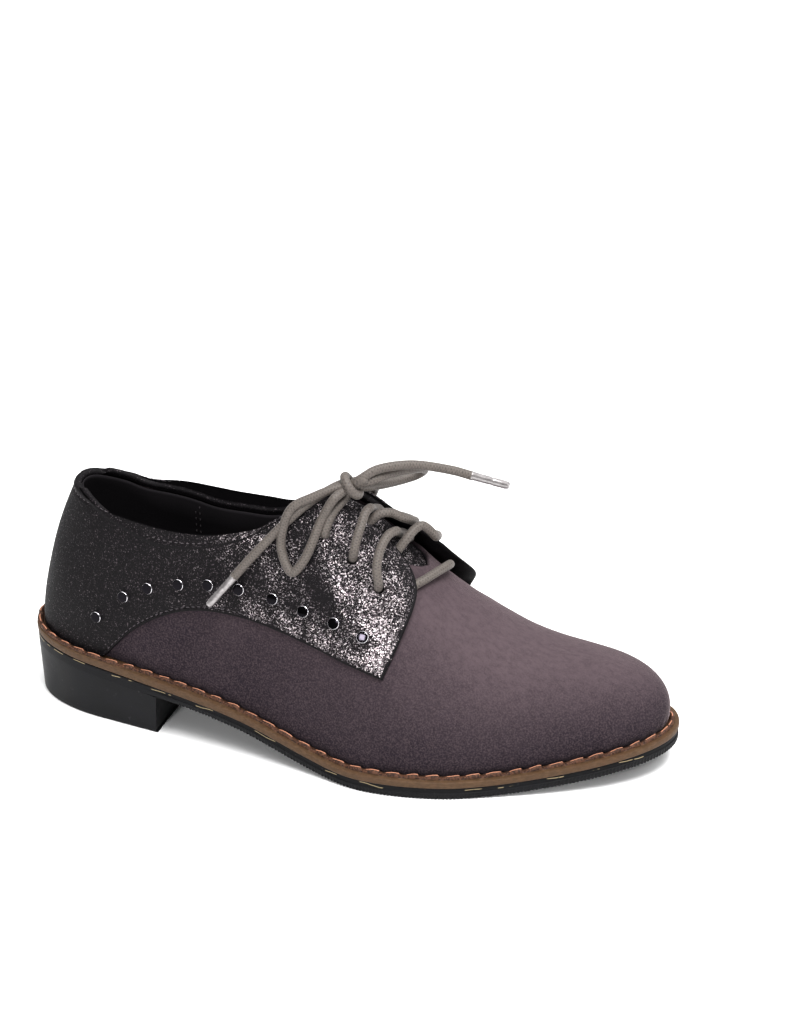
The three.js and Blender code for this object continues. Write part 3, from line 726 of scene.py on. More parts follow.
def welt_finish():
    """Brown edge-stained welt, its bead's crest worn to copper, the bead painted darker as painted shade and
    the top of its crest
    painted bright as a painted highlight: the marks' second number is the height.
    """
    f = Finish("welt_leather", Roughness=0.6, Specular_IOR_Level=0.3)
    height = f.mark("Y")
    crest = f.spread(height, 0.3, 0.5)
    layers = f.noise(700, 4, 0.6, at=f.place((0.7, 0.7, 1.4)))
    side = f.mix(f.spread(layers, 0.3, 0.72), linear(75, 56, 38), linear(88, 66, 46))
    side = f.mix(f.spread(f.noise(70, 4, 0.7), 0.45, 0.75, 0.0, 0.5), side, linear(80, 56, 40))
    # Painted shade: the bead's worn colour is painted darker than the welt's side.
    bead_wear_and_painted_light = f.mix(f.spread(f.noise(1100, 3, 0.6), 0.35, 0.65), linear(42, 27, 20), linear(92, 62, 46))
    # Painted highlight: a thin bright copper line along the top of the crest, brightest at the scallops'
    # peaks.
    ridge = f.spread(height, 0.965, 1.0)
    bead_wear_and_painted_light = f.mix(ridge, bead_wear_and_painted_light, linear(188, 134, 108))
    colour = f.mix(crest, side, bead_wear_and_painted_light)
    normal = f.bump(layers, 0.00018, 0.5)
    return f.set(Base_Color=colour, Normal=f.bump(f.noise(1300, 3, 0.6), 0.0002, 0.5, under=normal))


def thread_finish(name, dark, light, rough):
    """Twisted sewing thread: fine diagonal lay along the marks."""
    f = Finish(name, Roughness=rough, Specular_IOR_Level=0.4)
    lay = f.stripes((1, 1, 1), 3.0)
    return f.set(Base_Color=f.mix(lay, dark, light), Normal=f.bump(lay, 0.0001, 0.6))


def lace_finish():
    """Round waxed braid: two crossing diagonals over the marks, in worn grey-taupe."""
    f = Finish("waxed_braid", Roughness=0.5, Specular_IOR_Level=0.45, Sheen_Weight=0.1)
    plait = f.sum("MAXIMUM", *(f.stripes((10.0 * lean, 6.0, 1.0), 0.3183) for lean in (1, -1)))
    hair = f.noise(1500, 3, 0.65)
    colour = f.mix(f.spread(plait, 0.3, 0.9), linear(62, 56, 53), linear(86, 79, 74))
    colour = f.mix(f.spread(hair, 0.35, 0.7, 0.0, 0.6), colour, linear(104, 97, 91))
    normal = f.bump(plait, 0.00018, 0.5)
    return f.set(Base_Color=colour, Normal=f.bump(hair, 0.00022, 0.6, under=normal))


def aglet_finish():
    """Clear shrunk film over the braid."""
    f = Finish("aglet_film", Metallic=0.55, Roughness=0.22, Specular_IOR_Level=0.6)
    f.shader.inputs["Coat Weight"].default_value = 0.9
    f.shader.inputs["Coat Roughness"].default_value = 0.06
    fine = f.noise(700, 3, 0.6)
    colour = f.mix(f.spread(fine, 0.3, 0.7), linear(128, 124, 124), linear(150, 146, 146))
    return f.set(Base_Color=colour, Normal=f.bump(f.noise(300, 2), 0.00008, 0.25))


def stud_finish():
    """Dark polished metal with hair scratches, its face tinted near black as a painted dark reflection, and
    painted bright as a reflection highlight where the marks' first number says bevel or wall.
    """
    f = Finish("stud_metal", Metallic=1.0)
    scratch = f.noise(900, 2, 0.6, at=f.place((0.25, 1, 3)))
    # Painted reflection: the wall and lower bevel are painted bright.
    rim = f.spread(f.mark("X"), 0.86, 0.92)
    # Painted dark reflection: the face is tinted nearly black.
    face = f.mix(scratch, linear(24, 23, 26), linear(36, 34, 38))
    return f.set(
        Base_Color=f.mix(rim, face, linear(232, 230, 234)),
        Roughness=f.spread(scratch, 0.4, 0.75, 0.05, 0.16),
    )


SUEDE = suede_finish()
FOIL = foil_finish()
LINING = lining_finish()
SOLE_RUBBER = rubber_finish("sole_rubber", 0.5, True)
HEEL_RUBBER = rubber_finish("heel_rubber", 0.42, False)
WELT = welt_finish()
DARK_THREAD = thread_finish("dark_thread", linear(34, 30, 34), linear(104, 97, 101), 0.4)
COPPER_THREAD = thread_finish("copper_thread", linear(66, 42, 30), linear(120, 82, 60), 0.6)
BRAID = lace_finish()
AGLET = aglet_finish()
STUD = stud_finish()


# Camera, at the photograph's angle to the shoe
CAMERA_AZIMUTH = math.radians(21.6805)
CAMERA_ELEVATION = math.radians(26)
CAMERA_ROLL = math.radians(-1.5)
CAMERA_DISTANCE = 1200 * MM
CAMERA_TARGET = Vector((56.83 * MM, 192.07 * MM, 0))
CAMERA_LENS = 89.648


def add_camera():
    back = Vector((
        math.sin(CAMERA_AZIMUTH) * math.cos(CAMERA_ELEVATION),
        -math.cos(CAMERA_AZIMUTH) * math.cos(CAMERA_ELEVATION),
        math.sin(CAMERA_ELEVATION),
    ))
    level = Vector((math.cos(CAMERA_AZIMUTH), math.sin(CAMERA_AZIMUTH), 0))
    upright = back.cross(level)
    right = level * math.cos(CAMERA_ROLL) + upright * math.sin(CAMERA_ROLL)
    up = upright * math.cos(CAMERA_ROLL) - level * math.sin(CAMERA_ROLL)
    data = bpy.data.cameras.new("camera")
    data.sensor_fit = "AUTO"
    data.sensor_width = 36
    data.lens = CAMERA_LENS
    camera = bpy.data.objects.new("camera", data)
    turn = Matrix((right, up, back)).transposed()
    camera.matrix_world = Matrix.Translation(CAMERA_TARGET + back * CAMERA_DISTANCE) @ turn.to_4x4()
    bpy.context.scene.collection.objects.link(camera)
    bpy.context.scene.camera = camera


add_camera()

# Lace: routes given in millimetres from the back of the heel
TIE_LATERAL = [
    (138, -20.5, 95.5),
    (140, -16, 102.5),
    (143, -10, 106.8),
]
TIE_MEDIAL = [
    (142.2, 20.6, 95.4),
    (145.6, 11.5, 103.8),
    (146.4, -2.5, 110.6),
]
LOOP_LATERAL = [
    (140.6, -12.6, 111.4),
    (132.7, -17.8, 108.7),
    (125.6, -22, 104.9),
    (122.6, -25, 96.5),
    (122.8, -27.1, 88.5),
    (127.7, -29.9, 81.5),
    (131.7, -28, 85.5),
    (134.4, -24.4, 92.5),
    (136.9, -19.3, 101.2),
    (140.9, -17.2, 108.6),
    (142.6, -13.3, 110.1),
]
LOOP_MEDIAL = [
    (151.1, -5.3, 112.5),
    (157, 1.8, 113.4),
    (164, 9.9, 113),
    (165.7, 13.8, 111.7),
    (164.8, 16.6, 109.1),
    (161.7, 16.8, 106.7),
    (158.3, 14, 105.9),
    (154.3, 8, 106.3),
    (151.2, 1.2, 107.8),
    (148.6, -5, 109.6),
]
END_LATERAL = [
    (139.7, -6, 109.9),
    (132, -16.3, 106.7),
    (124.1, -22.4, 99.8),
    (113, -29.4, 87.5),
    (104.4, -33.1, 76.9),
]
END_MEDIAL = [
    (148.8, -7.7, 114.4),
    (153.8, -3.1, 116.9),
    (164.5, 5.2, 116.7),
    (177.2, 13.6, 112.6),
    (184.5, 17.2, 109.6),
]
KNOT_AT = np.array([144.9, -8.6, 111.2]) * MM
KNOT_AXIS = np.array([0.8, 0.2, 0.5])
KNOT_FRONT = np.array([0.33, -0.83, 0.44])
KNOT_RADIUS = 4.3 * MM
KNOT_FLAT = 0.86
KNOT_TURN = 3.5
KNOT_WRAP_REACH = 1.3 * MM
KNOT_CORE_REACH = 5.5 * MM
KNOT_CORE = 1.2
TIE_THROUGH = 4 * MM
TIE_CLEAR = 0.6 * MM
LACE_LIFT = QUARTER_OUT + FACING_LIFT + GAP + LACE / 2
UNDER_FACING = -3.2 * MM
LACE_STEP = 0.6 * MM
AGLET_OVERLAP = 0.9 * MM
AGLET_SIDES = 28
# An aglet's half width along it, as shares of its length and of AGLET_WIDTH / 2
AGLET_PROFILE = table("share wide", [
    [0, 0],
    [0, 1.1],
    [0.02, 1.16],
    [0.06, 1.04],
    [0.3, 1],
    [0.5, 1],
    [0.53, 0.93],
    [0.56, 0.93],
    [0.6, 1],
    [0.9, 0.98],
    [0.97, 0.9],
    [1, 0.7],
    [1, 0],
])


def eyelet_at(side, number, lift):
    """A place on an eyelet's own axis, that far above the last."""
    along = EYELET_PLACES["along"][number] + (MEDIAL_FACING_SHIFT / 2 if side == "medial" else 0)
    turn, up = side_turn(side, along), EYELET_PLACES["up"][number]
    return last(turn, up) + last_normal(turn, up) * lift


def cord_piece(name, points, nodes):
    """A free stretch of lace. Its length is measured, but nothing uses it."""
    line = route(points, LACE_STEP)
    form = Form()
    tube(form, line, LACE)
    piece = form.make(name, BRAID, replaces=nodes)
    path = line - [HEEL_REST, 0, 0]
    long = float(np.linalg.norm(np.diff(path, axis=0), axis=1).sum())


def aglet(name, end, node):
    """A stiff tip in line with a lace's end: a cylinder with a flared foot, a crimp and a rounded point."""
    before, tip = np.array(end[-2:]) * MM
    way = unit(tip - before)
    start = tip + way * (GAP - AGLET_OVERLAP)
    across = unit(np.cross(way, ASKEW))
    ring = circle(across, np.cross(way, across), AGLET_SIDES)
    far = AGLET_PROFILE["share"] * (AGLET_LENGTH + AGLET_OVERLAP)
    wide = AGLET_PROFILE["wide"] * AGLET_WIDTH / 2
    points = start + way * far[:, None, None] + ring * wide[:, None, None]
    form = Form()
    form.cells(form.add(points), flip=True)
    return form.make(name, AGLET, sharp=50, replaces=[node])


def in_metres(points):
    return [np.array(p) * MM for p in points]


def knot():
    """The bow's knot: a lace wrapped once round the line from one pair of loops to the other."""
    axis = unit(KNOT_AXIS)
    across = unit(KNOT_FRONT - axis * (KNOT_FRONT @ axis))
    upward = np.cross(axis, across)
    turns = np.linspace(-KNOT_TURN, KNOT_TURN, 120)
    far = np.linspace(-KNOT_WRAP_REACH, KNOT_WRAP_REACH, 120)
    radius = KNOT_RADIUS * (1 - 0.25 * smooth(2.4, KNOT_TURN, np.abs(turns)))
    line = KNOT_AT + axis * far[:, None] + across * (np.cos(turns) * radius * KNOT_FLAT)[:, None]
    line = line + upward * (np.sin(turns) * radius)[:, None]
    form = Form()
    tube(form, line, LACE)
    core = KNOT_AT + axis * np.linspace(-KNOT_CORE_REACH, KNOT_CORE_REACH, 12)[:, None]
    tube(form, core, LACE * KNOT_CORE)
    form.make("lace_knot_wraps", BRAID, replaces=["lace_knot"])


def tie(side, points, beyond):
    """A tie's route: up out of the top eyelet, by its own points, and through the knot."""
    foot = [eyelet_at(side, 0, lift) for lift in (UNDER_FACING, QUARTER_OUT + TIE_CLEAR)]
    return [*foot, *in_metres(points), KNOT_AT, KNOT_AT + unit(KNOT_AXIS) * beyond]


def bow():
    """The two ties, loops and ends of the bow, each a free cord from the top eyelet or the knot."""
    knot()
    outer_tie, inner_tie = tie("lateral", TIE_LATERAL, TIE_THROUGH), tie("medial", TIE_MEDIAL, -TIE_THROUGH)
    outer_loop, inner_loop = ([KNOT_AT, *in_metres(p), KNOT_AT] for p in (LOOP_LATERAL, LOOP_MEDIAL))
    outer_end, inner_end = ([KNOT_AT, *in_metres(p)] for p in (END_LATERAL, END_MEDIAL))
    cord_piece("lace_tie_outer", outer_tie, ["lace_tie_lateral"])
    cord_piece("lace_tie_inner", inner_tie, ["lace_tie_medial"])
    cord_piece("lace_loop_outer", outer_loop, ["lace_loop_lateral"])
    cord_piece("lace_loop_inner", inner_loop, ["lace_loop_medial"])
    outer_tip = aglet("aglet_outer", END_LATERAL, "aglet_lateral")
    inner_tip = aglet("aglet_inner", END_MEDIAL, "aglet_medial")
    cord_piece("lace_end_outer", outer_end, ["lace_end_lateral"])
    cord_piece("lace_end_inner", inner_end, ["lace_end_medial"])


bow()


# Lace over the facings, as places on the last: side, along, up, and millimetres over the usual lift
CROSSINGS = {
    "lace_cross_low": (
        ["lace_cross_lower"],
        [
            ("lateral", 2, [
                ("lateral", 0.5875, 0.65, 0.2),
                ("lateral", 0.58, 0.69, 1.6),
                ("lateral", 0.5775, 0.765, 1.8),
                ("lateral", 0.58, 0.84, 1.8),
                ("lateral", 0.586, 0.895, 0.8),
                ("lateral", 0.591, 0.94, -2.4),
                ("medial", 0.597, 0.96, -4.4),
                ("medial", 0.602, 0.87, -5.2),
            ]),
            ("medial", 2, [
                ("medial", 0.603, 0.66, 0.4),
                ("medial", 0.61, 0.75, 2.2),
                ("medial", 0.618, 0.86, 3.4),
                ("medial", 0.619, 0.94, 4.2),
                ("medial", 0.61, 0.965, 4.9),
                ("medial", 0.602, 0.985, 4.6),
                ("lateral", 0.6, 0.985, 2.6),
                ("lateral", 0.6, 0.925, 0.4),
                ("lateral", 0.6, 0.875, -2.4),
                ("lateral", 0.6, 0.83, -5),
            ]),
        ],
    ),
    "lace_cross_high": (
        ["lace_cross_upper"],
        [
            ("lateral", 1, [
                ("lateral", 0.5485, 0.67, 0.4),
                ("lateral", 0.5475, 0.715, 1.7),
                ("lateral", 0.5475, 0.775, 1.8),
                ("lateral", 0.5475, 0.84, 1.6),
                ("lateral", 0.551, 0.885, 0),
                ("lateral", 0.556, 0.93, -3.2),
                ("medial", 0.562, 0.95, -5.2),
                ("medial", 0.565, 0.87, -6),
            ]),
            ("medial", 1, [
                ("medial", 0.559, 0.665, 0.4),
                ("medial", 0.575, 0.74, 0.2),
                ("medial", 0.59, 0.83, 0.4),
                ("medial", 0.594, 0.92, 1.4),
                ("lateral", 0.5845, 0.985, 2),
                ("lateral", 0.5725, 0.95, 1.6),
                ("lateral", 0.5635, 0.905, 0.6),
                ("lateral", 0.56, 0.865, -2),
                ("lateral", 0.557, 0.82, -5),
            ]),
        ],
    ),
}
BAR = [
    ("lateral", 0.628, 0.755, -4.6),
    ("lateral", 0.633, 0.795, -0.9),
    ("lateral", 0.64, 0.85, 0.1),
    ("lateral", 0.648, 0.945, 1.2),
    ("medial", 0.6525, 0.975, 2.3),
    ("medial", 0.653, 0.92, 1.9),
    ("medial", 0.65, 0.86, -0.6),
]


def crossings():
    """The strands that cross the throat: up out of an eyelet, over the facing and under the other one."""
    for name, (nodes, strands) in CROSSINGS.items():
        form = Form()
        for side, number, places in strands:
            points = [eyelet_at(side, number, UNDER_FACING)]
            for s, along, up, more in places:
                points.append(skin(side_turn(s, along), up, LACE_LIFT + more * MM))
            tube(form, route(points, LACE_STEP), LACE)
        form.make(name, BRAID, replaces=nodes)
    form = Form()
    points = [skin(side_turn(s, along), up, GAP + LACE / 2 + more * MM) for s, along, up, more in BAR]
    tube(form, route(points, LACE_STEP), LACE)
    form.make("lace_bar_straight", BRAID, replaces=["lace_bar"])


crossings()


# Holes through a wall
def punched(grids, centres, radius):
    """Cells of a grid in round holes are not kept, and the corners round them move onto the circle."""
    first = grids[0]
    middle = (first[:-1, :-1] + first[1:, :-1] + first[1:, 1:] + first[:-1, 1:]) / 4
    keep = np.ones(middle.shape[:2], bool)
    for centre, axis in centres:
        away = middle - centre
        high = away @ axis
        flat = np.linalg.norm(away - high[..., None] * axis, axis=-1)
        hole = (flat < radius) & (np.abs(high) < 3 * radius)
        keep &= ~hole
        around = np.pad(hole, 1)
        touched = around[:-1, :-1] | around[1:, :-1] | around[1:, 1:] | around[:-1, 1:]
        inside = around[:-1, :-1] & around[1:, :-1] & around[1:, 1:] & around[:-1, 1:]
        rim = touched & ~inside
        for grid in grids:
            away = grid[rim] - centre
            high = (away @ axis)[:, None] * axis
            grid[rim] = centre + high + unit(away - high) * radius
    return keep


def eyelet_holes():
    """Centre on the last and outward axis of each of the six holes."""
    return [
        (eyelet_at(side, k, 0), unit(eyelet_at(side, k, MM) - eyelet_at(side, k, 0)))
        for side in ("lateral", "medial")
        for k in range(3)
    ]


# Upper
UPPER_COLUMNS = 640
UPPER_ROWS = 64
PLEAT_DEPTH = 0.16 * MM
PLEATS = 61
FOOT_ROLL = 0.25 * MM
PULL_RISE = 0.35 * MM
PULL_HOLLOW = 0.3 * MM
UPPER_WAVE = 0.12 * MM
# Flex troughs across the vamp: place along, depth and lean
TROUGHS = (0.7, 0.14 * MM, 0.035), (0.745, 0.1 * MM, 0.05)


def upper_lift(turn, up):
    """Soft form of the suede over the last: a roll of the nap over the welt, shallow lasting pleats, a pull
    towards each facing's front corner and two faint flex troughs across the vamp."""
    along = along_at(turn)
    pleats = PLEAT_DEPTH * np.sin(turn * PLEATS) * hump(up, 0.03, 0.05) * smooth(0.62, 0.9, along)
    low = -FOOT_ROLL * hump(up, 0.0, 0.02)
    corner = along - FACING["along"][0] - np.where(turn < np.pi, 0, MEDIAL_FACING_SHIFT)
    pull = PULL_RISE * hump(corner, 0.02, 0.018) * hump(up, 0.36, 0.09)
    pull = pull - PULL_HOLLOW * hump(corner, 0.055, 0.02) * hump(up, 0.44, 0.12)
    flex = np.zeros_like(along)
    for place, depth, lean in TROUGHS:
        flex = flex - depth * hump(along + lean * (1 - up), place, 0.012) * smooth(0.35, 0.7, up)
    fold = np.minimum(turn, 2 * np.pi - turn)
    wave = UPPER_WAVE * np.sin(fold * 7 + up * 5) * np.sin(up * 9 + fold * 3)
    return pleats + low + pull + flex + wave


def upper_top(turn):
    along = along_at(turn)
    edge = np.where(
        turn < np.pi,
        through(UPPER_EDGE["along"], UPPER_EDGE["lateral"], along),
        through(UPPER_EDGE["along"], UPPER_EDGE["medial"], along),
    )
    return np.minimum(edge, 1)


def join_ridge(grids, top):
    """Brings the top points of facing columns together where both reach the ridge, and closes the ring."""
    met = (top >= 1) & (top[::-1] >= 1)
    for grid in grids:
        grid[-1] = grid[0]
        grid[met, -1] = (grid[met, -1] + grid[::-1][met, -1]) / 2
    return met[:-1] & met[1:]


def upper():
    """The suede upper, one wall over the last, with its eyelet holes."""
    turns = np.append(paired_turns(UPPER_COLUMNS), 2 * np.pi)
    top = upper_top(turns)
    rise = np.linspace(0, 1, UPPER_ROWS + 1)
    turn, up = turns[:, None] + 0 * rise, top[:, None] * rise
    outer = skin(turn, up, upper_lift(turn, up))
    inner = skin(turn, up, np.full_like(up, -UPPER_WALL))
    closed = join_ridge([outer, inner], top)
    keep = punched([outer, inner], eyelet_holes(), EYELET / 2)
    form = Form()
    # The marks' second number, the share up, sets the suede's painted shade.
    form.slab(form.add(outer, np.stack([along_at(turn), up], -1)), form.add(inner), keep, True, closed)
    form.make("upper_suede", SUEDE, sharp=50, replaces=["upper"])


upper()


# Quarters
QUARTER_COLUMNS = 170
QUARTER_ROWS = 84
EDGE_ROUND = 0.7 * MM
SEAM_IN = 2 * MM
ARCH_SEAM_START = 0.158
COLLAR_ROLL = 1.25 * MM
FAR_FLARE = 5 * MM
NEAR_FLARE = 1 * MM
FLARE_REACH = 17 * MM
FAR_BOW = 0.009
SEAM_DEEP = 0.32 * MM
SEAM_WIDE = 0.45 * MM
COLLAR_SEAM_IN = 2 * COLLAR_ROLL + 0.3 * MM
COLLAR_SEAM_WIDE = 0.5 * MM
BACK_SEAM_DEEP = 0.35 * MM
COLLAR_PUFF = 0.35 * MM
QUARTER_WAVE = 0.18 * MM
STUD_HOLLOW = 0.3 * MM
STITCH_SIDES = 8
# Pitch, length, width and height of the stitches
QUARTER_STITCH = 2.6 * MM, 1.9 * MM, 0.5 * MM, 0.42 * MM
LINING_STITCH = 3.0 * MM, 1.5 * MM, 0.45 * MM, 0.4 * MM
WELT_STITCH = 1.1 * MM, 0.9 * MM, 0.4 * MM, 0.4 * MM
# More or less foil, its flecks painted brighter or dimmer as painted light: strength, place and width along,
# place and width up
FOIL_AND_GLINT_PATCHES = [
    (0.56, 0.57, 0.065, 0.62, 0.17),
    (0.5, 0.612, 0.026, 0.46, 0.12),
    (0.26, 0.43, 0.08, 0.48, 0.09),
    (0.3, 0.5, 0.03, 0.72, 0.06),
    (-0.34, 0.505, 0.03, 0.47, 0.05),
]


def quarter_place(side, across, rise):
    """Blend of the quarter's edges: (1 - v) low + v high + u front - u ((1 - v) low corner + v high corner),
    with u the share across and v the share of the rise. The back edge is straight and drops out."""
    shift = MEDIAL_FACING_SHIFT if side == "medial" else 0
    end_low, end_high = ARCH["along"][-1] + shift, COLLAR["along"][-1] + shift

    def stretched(edge, column, end):
        turn = turn_at(end) * across
        along = along_at(turn) * edge["along"][-1] / end
        return turn, np.maximum(0, through(edge["along"], edge[column], along))

    low, high = stretched(ARCH, "up", end_low), stretched(COLLAR, side, end_high)
    bow = FAR_BOW * hump(rise, 0.42, 0.2) if side == "medial" else 0
    front = (
        turn_at(through(FACING["step"], FACING["along"], rise) + shift + bow),
        through(FACING["step"], FACING["up"], rise),
    )
    corner_low = turn_at(end_low), FACING["up"][0]
    corner_high = turn_at(end_high), FACING["up"][-1]
    turn, up = (
        (1 - rise) * low[k] + rise * high[k] + across * front[k]
        - across * ((1 - rise) * corner_low[k] + rise * corner_high[k])
        for k in (0, 1)
    )
    return (2 * np.pi - turn if side == "medial" else turn), up


def quarter_grid():
    """Turn, up and both shares of every point of the quarters, from the inner facing round to the outer."""
    share = np.linspace(-1, 1, 2 * QUARTER_COLUMNS + 1)
    across = np.sin(np.pi / 2 * np.abs(share))[:, None]
    t = np.linspace(0, 1, QUARTER_ROWS + 1)
    rise = (t - 0.7 * np.sin(2 * np.pi * t) / (2 * np.pi))[None]
    medial, lateral = quarter_place("medial", across, rise), quarter_place("lateral", across, rise)
    inner_side = (share < 0)[:, None]
    turn = np.where(inner_side, medial[0], lateral[0])
    return turn, np.where(inner_side, medial[1], lateral[1]), across + 0 * rise, rise + 0 * across


def quarter_distances(base):
    """Distance from the lower edge, the collar and the facing's front edge."""
    low = travelled(base, 1)
    high = low[:, -1:] - low
    middle = QUARTER_COLUMNS
    lateral = travelled(base[middle:], 0)
    medial = travelled(base[middle::-1], 0)
    front = np.concatenate([(medial[-1:] - medial)[::-1][:-1], lateral[-1:] - lateral])
    return low, high, front


def rounded(distance, radius):
    """Height lost at a round edge: radius (1 - sqrt(1 - (1 - d / radius)^2))."""
    inside = np.clip(1 - distance / radius, 0, 1)
    return radius * (1 - np.sqrt(1 - inside**2))


def foil_left_and_painted_glint(turn, up, low):
    """How much of the foil is left, and how bright its flecks are painted as painted light: most round the
    eyelets and at the front corner, some along the arch.
    """
    along = along_at(turn) - MEDIAL_FACING_SHIFT / 2 * (turn > np.pi)
    shine = 0.12 + 0.14 * smooth(0.1, 0.4, along)
    shine = shine + 0.32 * hump(low, 4.5 * MM, 5 * MM) * smooth(0.26, 0.5, along)
    for strength, place, wide, height, tall in FOIL_AND_GLINT_PATCHES:
        shine = shine + strength * hump(along, place, wide) * hump(up, height, tall)
    return np.clip(shine + 0.1 * np.sin(along * 90 + up * 31) * shine, 0, 1)


def quarters():
    """The foil quarters: a wall on the upper, its edges rounded, with a groove under each stitch row, a
    hollow round each stud and a soft back seam."""
    turn, up, across, rise = quarter_grid()
    base = last(turn, up)
    normal = last_normal(turn, up)
    low, high, front = quarter_distances(base)
    medial = turn > np.pi
    flare = np.where(medial, FAR_FLARE, NEAR_FLARE) * np.maximum(0, 1 - front / FLARE_REACH) ** 2
    free = FACING_LIFT * across**8 * rise**2 + flare * smooth(0.02, 0.35, rise) * (1 - smooth(0.8, 1, rise))
    arch = smooth(0.13, 0.17, along_at(turn))
    edge = np.minimum(np.where(arch > 0.5, low, 1), front)
    seam = SEAM_DEEP * (
        hump(low, SEAM_IN, SEAM_WIDE) * arch * smooth(0, SEAM_IN, front + 0.4 * MM)
        + hump(front, SEAM_IN, SEAM_WIDE) * smooth(SEAM_IN, SEAM_IN + MM, low + 0.6 * MM)
        + hump(high, COLLAR_SEAM_IN, COLLAR_SEAM_WIDE) * smooth(0.0, 2 * SEAM_IN, front)
    )
    back_seam = BACK_SEAM_DEEP * hump(turn - 2 * np.pi * medial, 0, 0.02)
    puff = COLLAR_PUFF * hump(high, COLLAR_ROLL, 1.2 * MM)
    wave = QUARTER_WAVE * np.sin(turn * 13 + up * 7) * np.sin(up * 16 - turn * 4)
    wave = wave * smooth(0, 8 * MM, np.minimum(low, high))
    lift = QUARTER_OUT + free - seam - back_seam + puff + wave - rounded(edge, EDGE_ROUND)
    for side in ("lateral", "medial"):
        for along, height in zip(STUD_PLACES["along"], STUD_PLACES["up"]):
            place = last(side_turn(side, along), height)
            far = np.linalg.norm(base - place, axis=-1)
            lift = lift - STUD_HOLLOW * hump(far, 0.6 * STUD_WIDTH, 0.9 * MM)
    outer = base + normal * lift[..., None]
    inner = base + normal * (GAP + free + 0.5 * rounded(edge, EDGE_ROUND))[..., None]
    keep = punched([outer, inner], eyelet_holes(), EYELET / 2)
    no_arch = 9 * (1 - arch)
    folded = np.minimum(np.minimum(low + no_arch, high), front)
    # The marks' first number: foil left and the painted brightness of its flecks.
    marks = np.stack([foil_left_and_painted_glint(turn, up, low), folded * 100], -1)
    form = Form()
    form.slab(form.add(outer, marks), form.add(inner), keep)
    form.make("quarters_foil", FOIL, sharp=60, replaces=["quarters"])
    return base, normal, lift, low, high, front


QUARTER = quarters()


def at_distance(values, distances, wanted, axis):
    """Values of a grid where the distance along each of its lines is as wanted."""
    if axis == 0:
        values, distances = np.swapaxes(values, 0, 1), distances.T
    rows = []
    for line, far in zip(values, distances):
        order = np.argsort(far)
        rows.append([np.interp(wanted, far[order], line[order, k]) for k in range(3)])
    return np.array(rows)


def stitches(form, line, normals, sizes, sink=0.35):
    """A row of stitches: small rounded rods lying along a line on a surface, their ends dipped into it."""
    pitch, long, width, high = sizes
    line_at = travelled(line)
    at = np.arange(pitch / 2, line_at[-1] - pitch / 2, pitch)
    centre, normal, ahead, behind = (
        np.stack([np.interp(at + d, line_at, source[:, k]) for k in range(3)], -1)
        for d, source in ((0, line), (0, normals), (long / 2, line), (-long / 2, line))
    )
    way, normal = unit(ahead - behind), unit(normal)
    side = unit(np.cross(normal, way))
    normal = np.cross(way, side)
    along = np.linspace(-1, 1, 7)[:, None]
    bend = np.sqrt(1 - along**2 * 0.995)
    angle = np.linspace(0, 2 * np.pi, STITCH_SIDES + 1)
    outward = bend * np.sin(angle) * high / 2 + (0.5 - sink - 0.6 * along**2) * high
    spot = (
        centre[:, None, None]
        + way[:, None, None] * (along * long / 2)[..., None]
        + side[:, None, None] * (bend * np.cos(angle) * width / 2)[..., None]
        + normal[:, None, None] * outward[..., None]
    )
    marks = np.stack(np.broadcast_arrays(angle / (2 * np.pi), along * 1.5), -1)
    ids = form.add(spot, np.broadcast_to(marks, spot.shape[:-1] + (2,)))
    a, b, c, d = ids[:, :-1, :-1], ids[:, 1:, :-1], ids[:, 1:, 1:], ids[:, :-1, 1:]
    form.faces(a, d, c, b)
    for end, order in ((0, -1), (-1, 1)):
        ring = ids[:, end, :-1][:, ::order]
        for k in (1, 3, 5):
            form.faces(ring[:, 0], ring[:, k], ring[:, k + 1], ring[:, k + 2])


def quarter_stitches():
    """Stitch rows inside the arch, under the collar and round the facings."""
    base, normal, lift, low, high, front = QUARTER
    outer = base + normal * lift[..., None]
    form = Form()
    halves = slice(0, QUARTER_COLUMNS + 1), slice(QUARTER_COLUMNS, None)
    line, face = (at_distance(grid, low, SEAM_IN, 1) for grid in (outer, normal))
    for half in halves:
        shown = (line[half][:, 0] > ARCH_SEAM_START * LENGTH) & (front[half, 0] > SEAM_IN * 0.9)
        stitches(form, line[half][shown], face[half][shown], QUARTER_STITCH)
    line, face = (at_distance(grid, high, COLLAR_SEAM_IN, 1)[4:-4] for grid in (outer, normal))
    stitches(form, line, face, QUARTER_STITCH)
    for half, end in zip(halves, (0, -1)):
        line, face = (at_distance(grid[half], front[half], SEAM_IN, 0) for grid in (outer, normal))
        shown = low[half][end] > SEAM_IN * 0.9
        stitches(form, line[shown], face[shown], QUARTER_STITCH)
    form.make("quarter_stitching", DARK_THREAD)


quarter_stitches()


def collar_roll():
    """The collar's turned edge: a thin round roll along the quarters' top, from facing to facing."""
    base, normal = QUARTER[:2]
    down, outward = unit(base[:, -4] - base[:, -1]), normal[:, -1]
    out = (QUARTER_OUT - UPPER_WALL) / 2 - 0.1 * MM
    centre = base[:, -1] + down * COLLAR_ROLL * 0.8 + outward * out
    radius = COLLAR_ROLL * (1 + 0.03 * np.sin(np.arange(len(centre)) * 0.9))[:, None, None]
    points = centre[:, None] + circle(outward, down, 24) * radius
    form = Form()
    ids = form.add(points, np.broadcast_to([0.1, 1.0], points.shape[:-1] + (2,)))
    form.cells(ids)
    first, last_one = form.add(np.stack([centre[0], centre[-1]]))
    form.fan(first, ids[0])
    form.fan(last_one, ids[-1, ::-1])
    form.make("collar_roll", FOIL)


collar_roll()


# Lining
LINING_COLUMNS = 300
LINING_ROWS = 40
LINING_GAP = 0.12 * MM
LINING_WAVE = 0.15 * MM
LINING_UNDER_EDGE = 0.006
THROAT_START = 0.51
